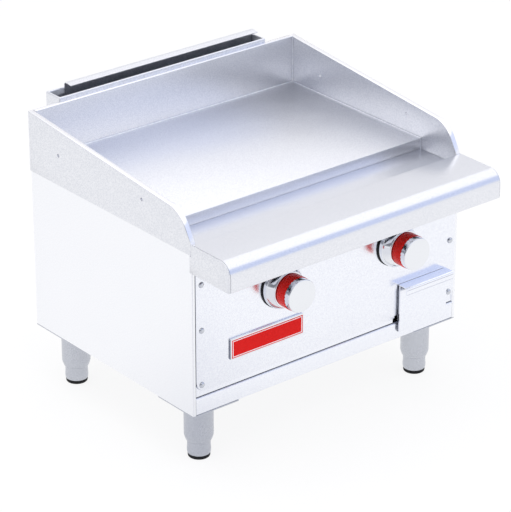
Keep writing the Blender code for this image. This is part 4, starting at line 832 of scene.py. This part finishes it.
# The plating is a mid grey with a soft shine, darker than the cabinet.
leg_steel = satin_sheet("satin_leg_steel", "#c8cbd3", "#bdc0c8", 0.28, 0.0012)
plate_wall = 0.0025
bolt_offset = 0.040
bolt_head = [(0.0, 0.0042), (0.0022, 0.0040), (0.0038, 0.0032), (0.0050, 0.0015), (0.0052, 0.0), (0.0, 0.0)]
for corner in ("front_left", "front_right", "rear_left", "rear_right"):
    low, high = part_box("leg_" + corner)
    axis = Vector(((low.x + high.x) / 2, (low.y + high.y) / 2, 0.0))
    top = high.z
    plate = soften(block((low.x, low.y, top - plate_wall), (high.x, high.y, top)), 0.0006)
    tube = turned(
        [(0.0, top - 0.002), (0.0300, top - 0.002), (0.0300, top - 0.0030), (0.0280, top - 0.0042),
         (0.0266, top - 0.0070), (0.0263, top - 0.0110), (0.0263, low.z + 0.0125), (0.0262, low.z + 0.0105),
         (0.0256, low.z + 0.0078), (0.0246, low.z + 0.0046), (0.0234, low.z + 0.0014),
         (0.0230, low.z + 0.0004), (0.0224, low.z), (0.0093, low.z), (0.0093, low.z + 0.043),
         (0.0, low.z + 0.043)],
        axis, (0, 0, 1), 64)
    bolts = [
        turned(bolt_head, axis + Vector((across * bolt_offset, along * bolt_offset, top - plate_wall)),
               (0, 0, -1), 20)
        for across in (-1, 1) for along in (-1, 1)]
    piece(
        "leg_tube_" + corner, joined([plate, tube] + bolts), leg_steel, ["leg_" + corner],
        widest=0.02)
    low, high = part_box("foot_" + corner)
    shoulder = high.z - 0.040
    foot = turned(
        [(0.0, high.z), (0.009, high.z), (0.009, shoulder), (0.0195, shoulder), (0.0207, shoulder - 0.0008),
         (0.0208, low.z + 0.0130), (0.0212, low.z + 0.0100), (0.0213, low.z + 0.0070),
         (0.0211, low.z + 0.0040), (0.0206, low.z + 0.0014), (0.0200, low.z + 0.0002), (0.0196, low.z),
         (0.0, low.z)],
        axis, (0, 0, 1), 56)
    adjuster = "adjuster_" + corner
    piece("foot_barrel_" + corner, foot, leg_steel, ["foot_" + corner], adjuster, widest=1.0)
    low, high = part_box("foot_pad_" + corner)
    pad = turned(
        [(0.0, high.z), (0.0196, high.z), (0.0200, high.z - 0.0005), (0.0200, low.z + 0.0030),
         (0.0196, low.z + 0.0010), (0.0188, low.z), (0.0, low.z)],
        axis, (0, 0, 1), 56)
    piece("pad_" + corner, pad, gasket_rubber, ["foot_pad_" + corner], adjuster, widest=1.0)

# ---------------------------------------------------------------- burner box and gas train
# Inside, hidden from the front: burners, shield and supports of aluminised steel, valves and stems of
# brass, a threaded iron pipe, and air shutters of the cabinet's own steel.

# The aluminised steel is a mottled grey, the brass a warm yellow, and the iron a dull near-black.
aluminised = satin_sheet("aluminised_steel", "#9a9da3", "#83868d", 0.50, 0.004)
valve_brass = satin_sheet("machined_brass", "#d9b469", "#c79f55", 0.30, 0.002)
black_iron = satin_sheet("black_iron_pipe", "#3c3d40", "#27282b", 0.60, 0.003)
carry_over(
    aluminised, "heat_shield", "plate_rest_front", "plate_rest_rear", "burner_rest", "burner_left",
    "burner_right", "pilot_burners", "manifold_bracket")
carry_over(valve_brass, "gas_valve_left", "gas_valve_right", "valve_stem_left", "valve_stem_right")
carry_over(black_iron, "gas_manifold")
carry_over(side_steel, "air_shutter_left", "air_shutter_right")
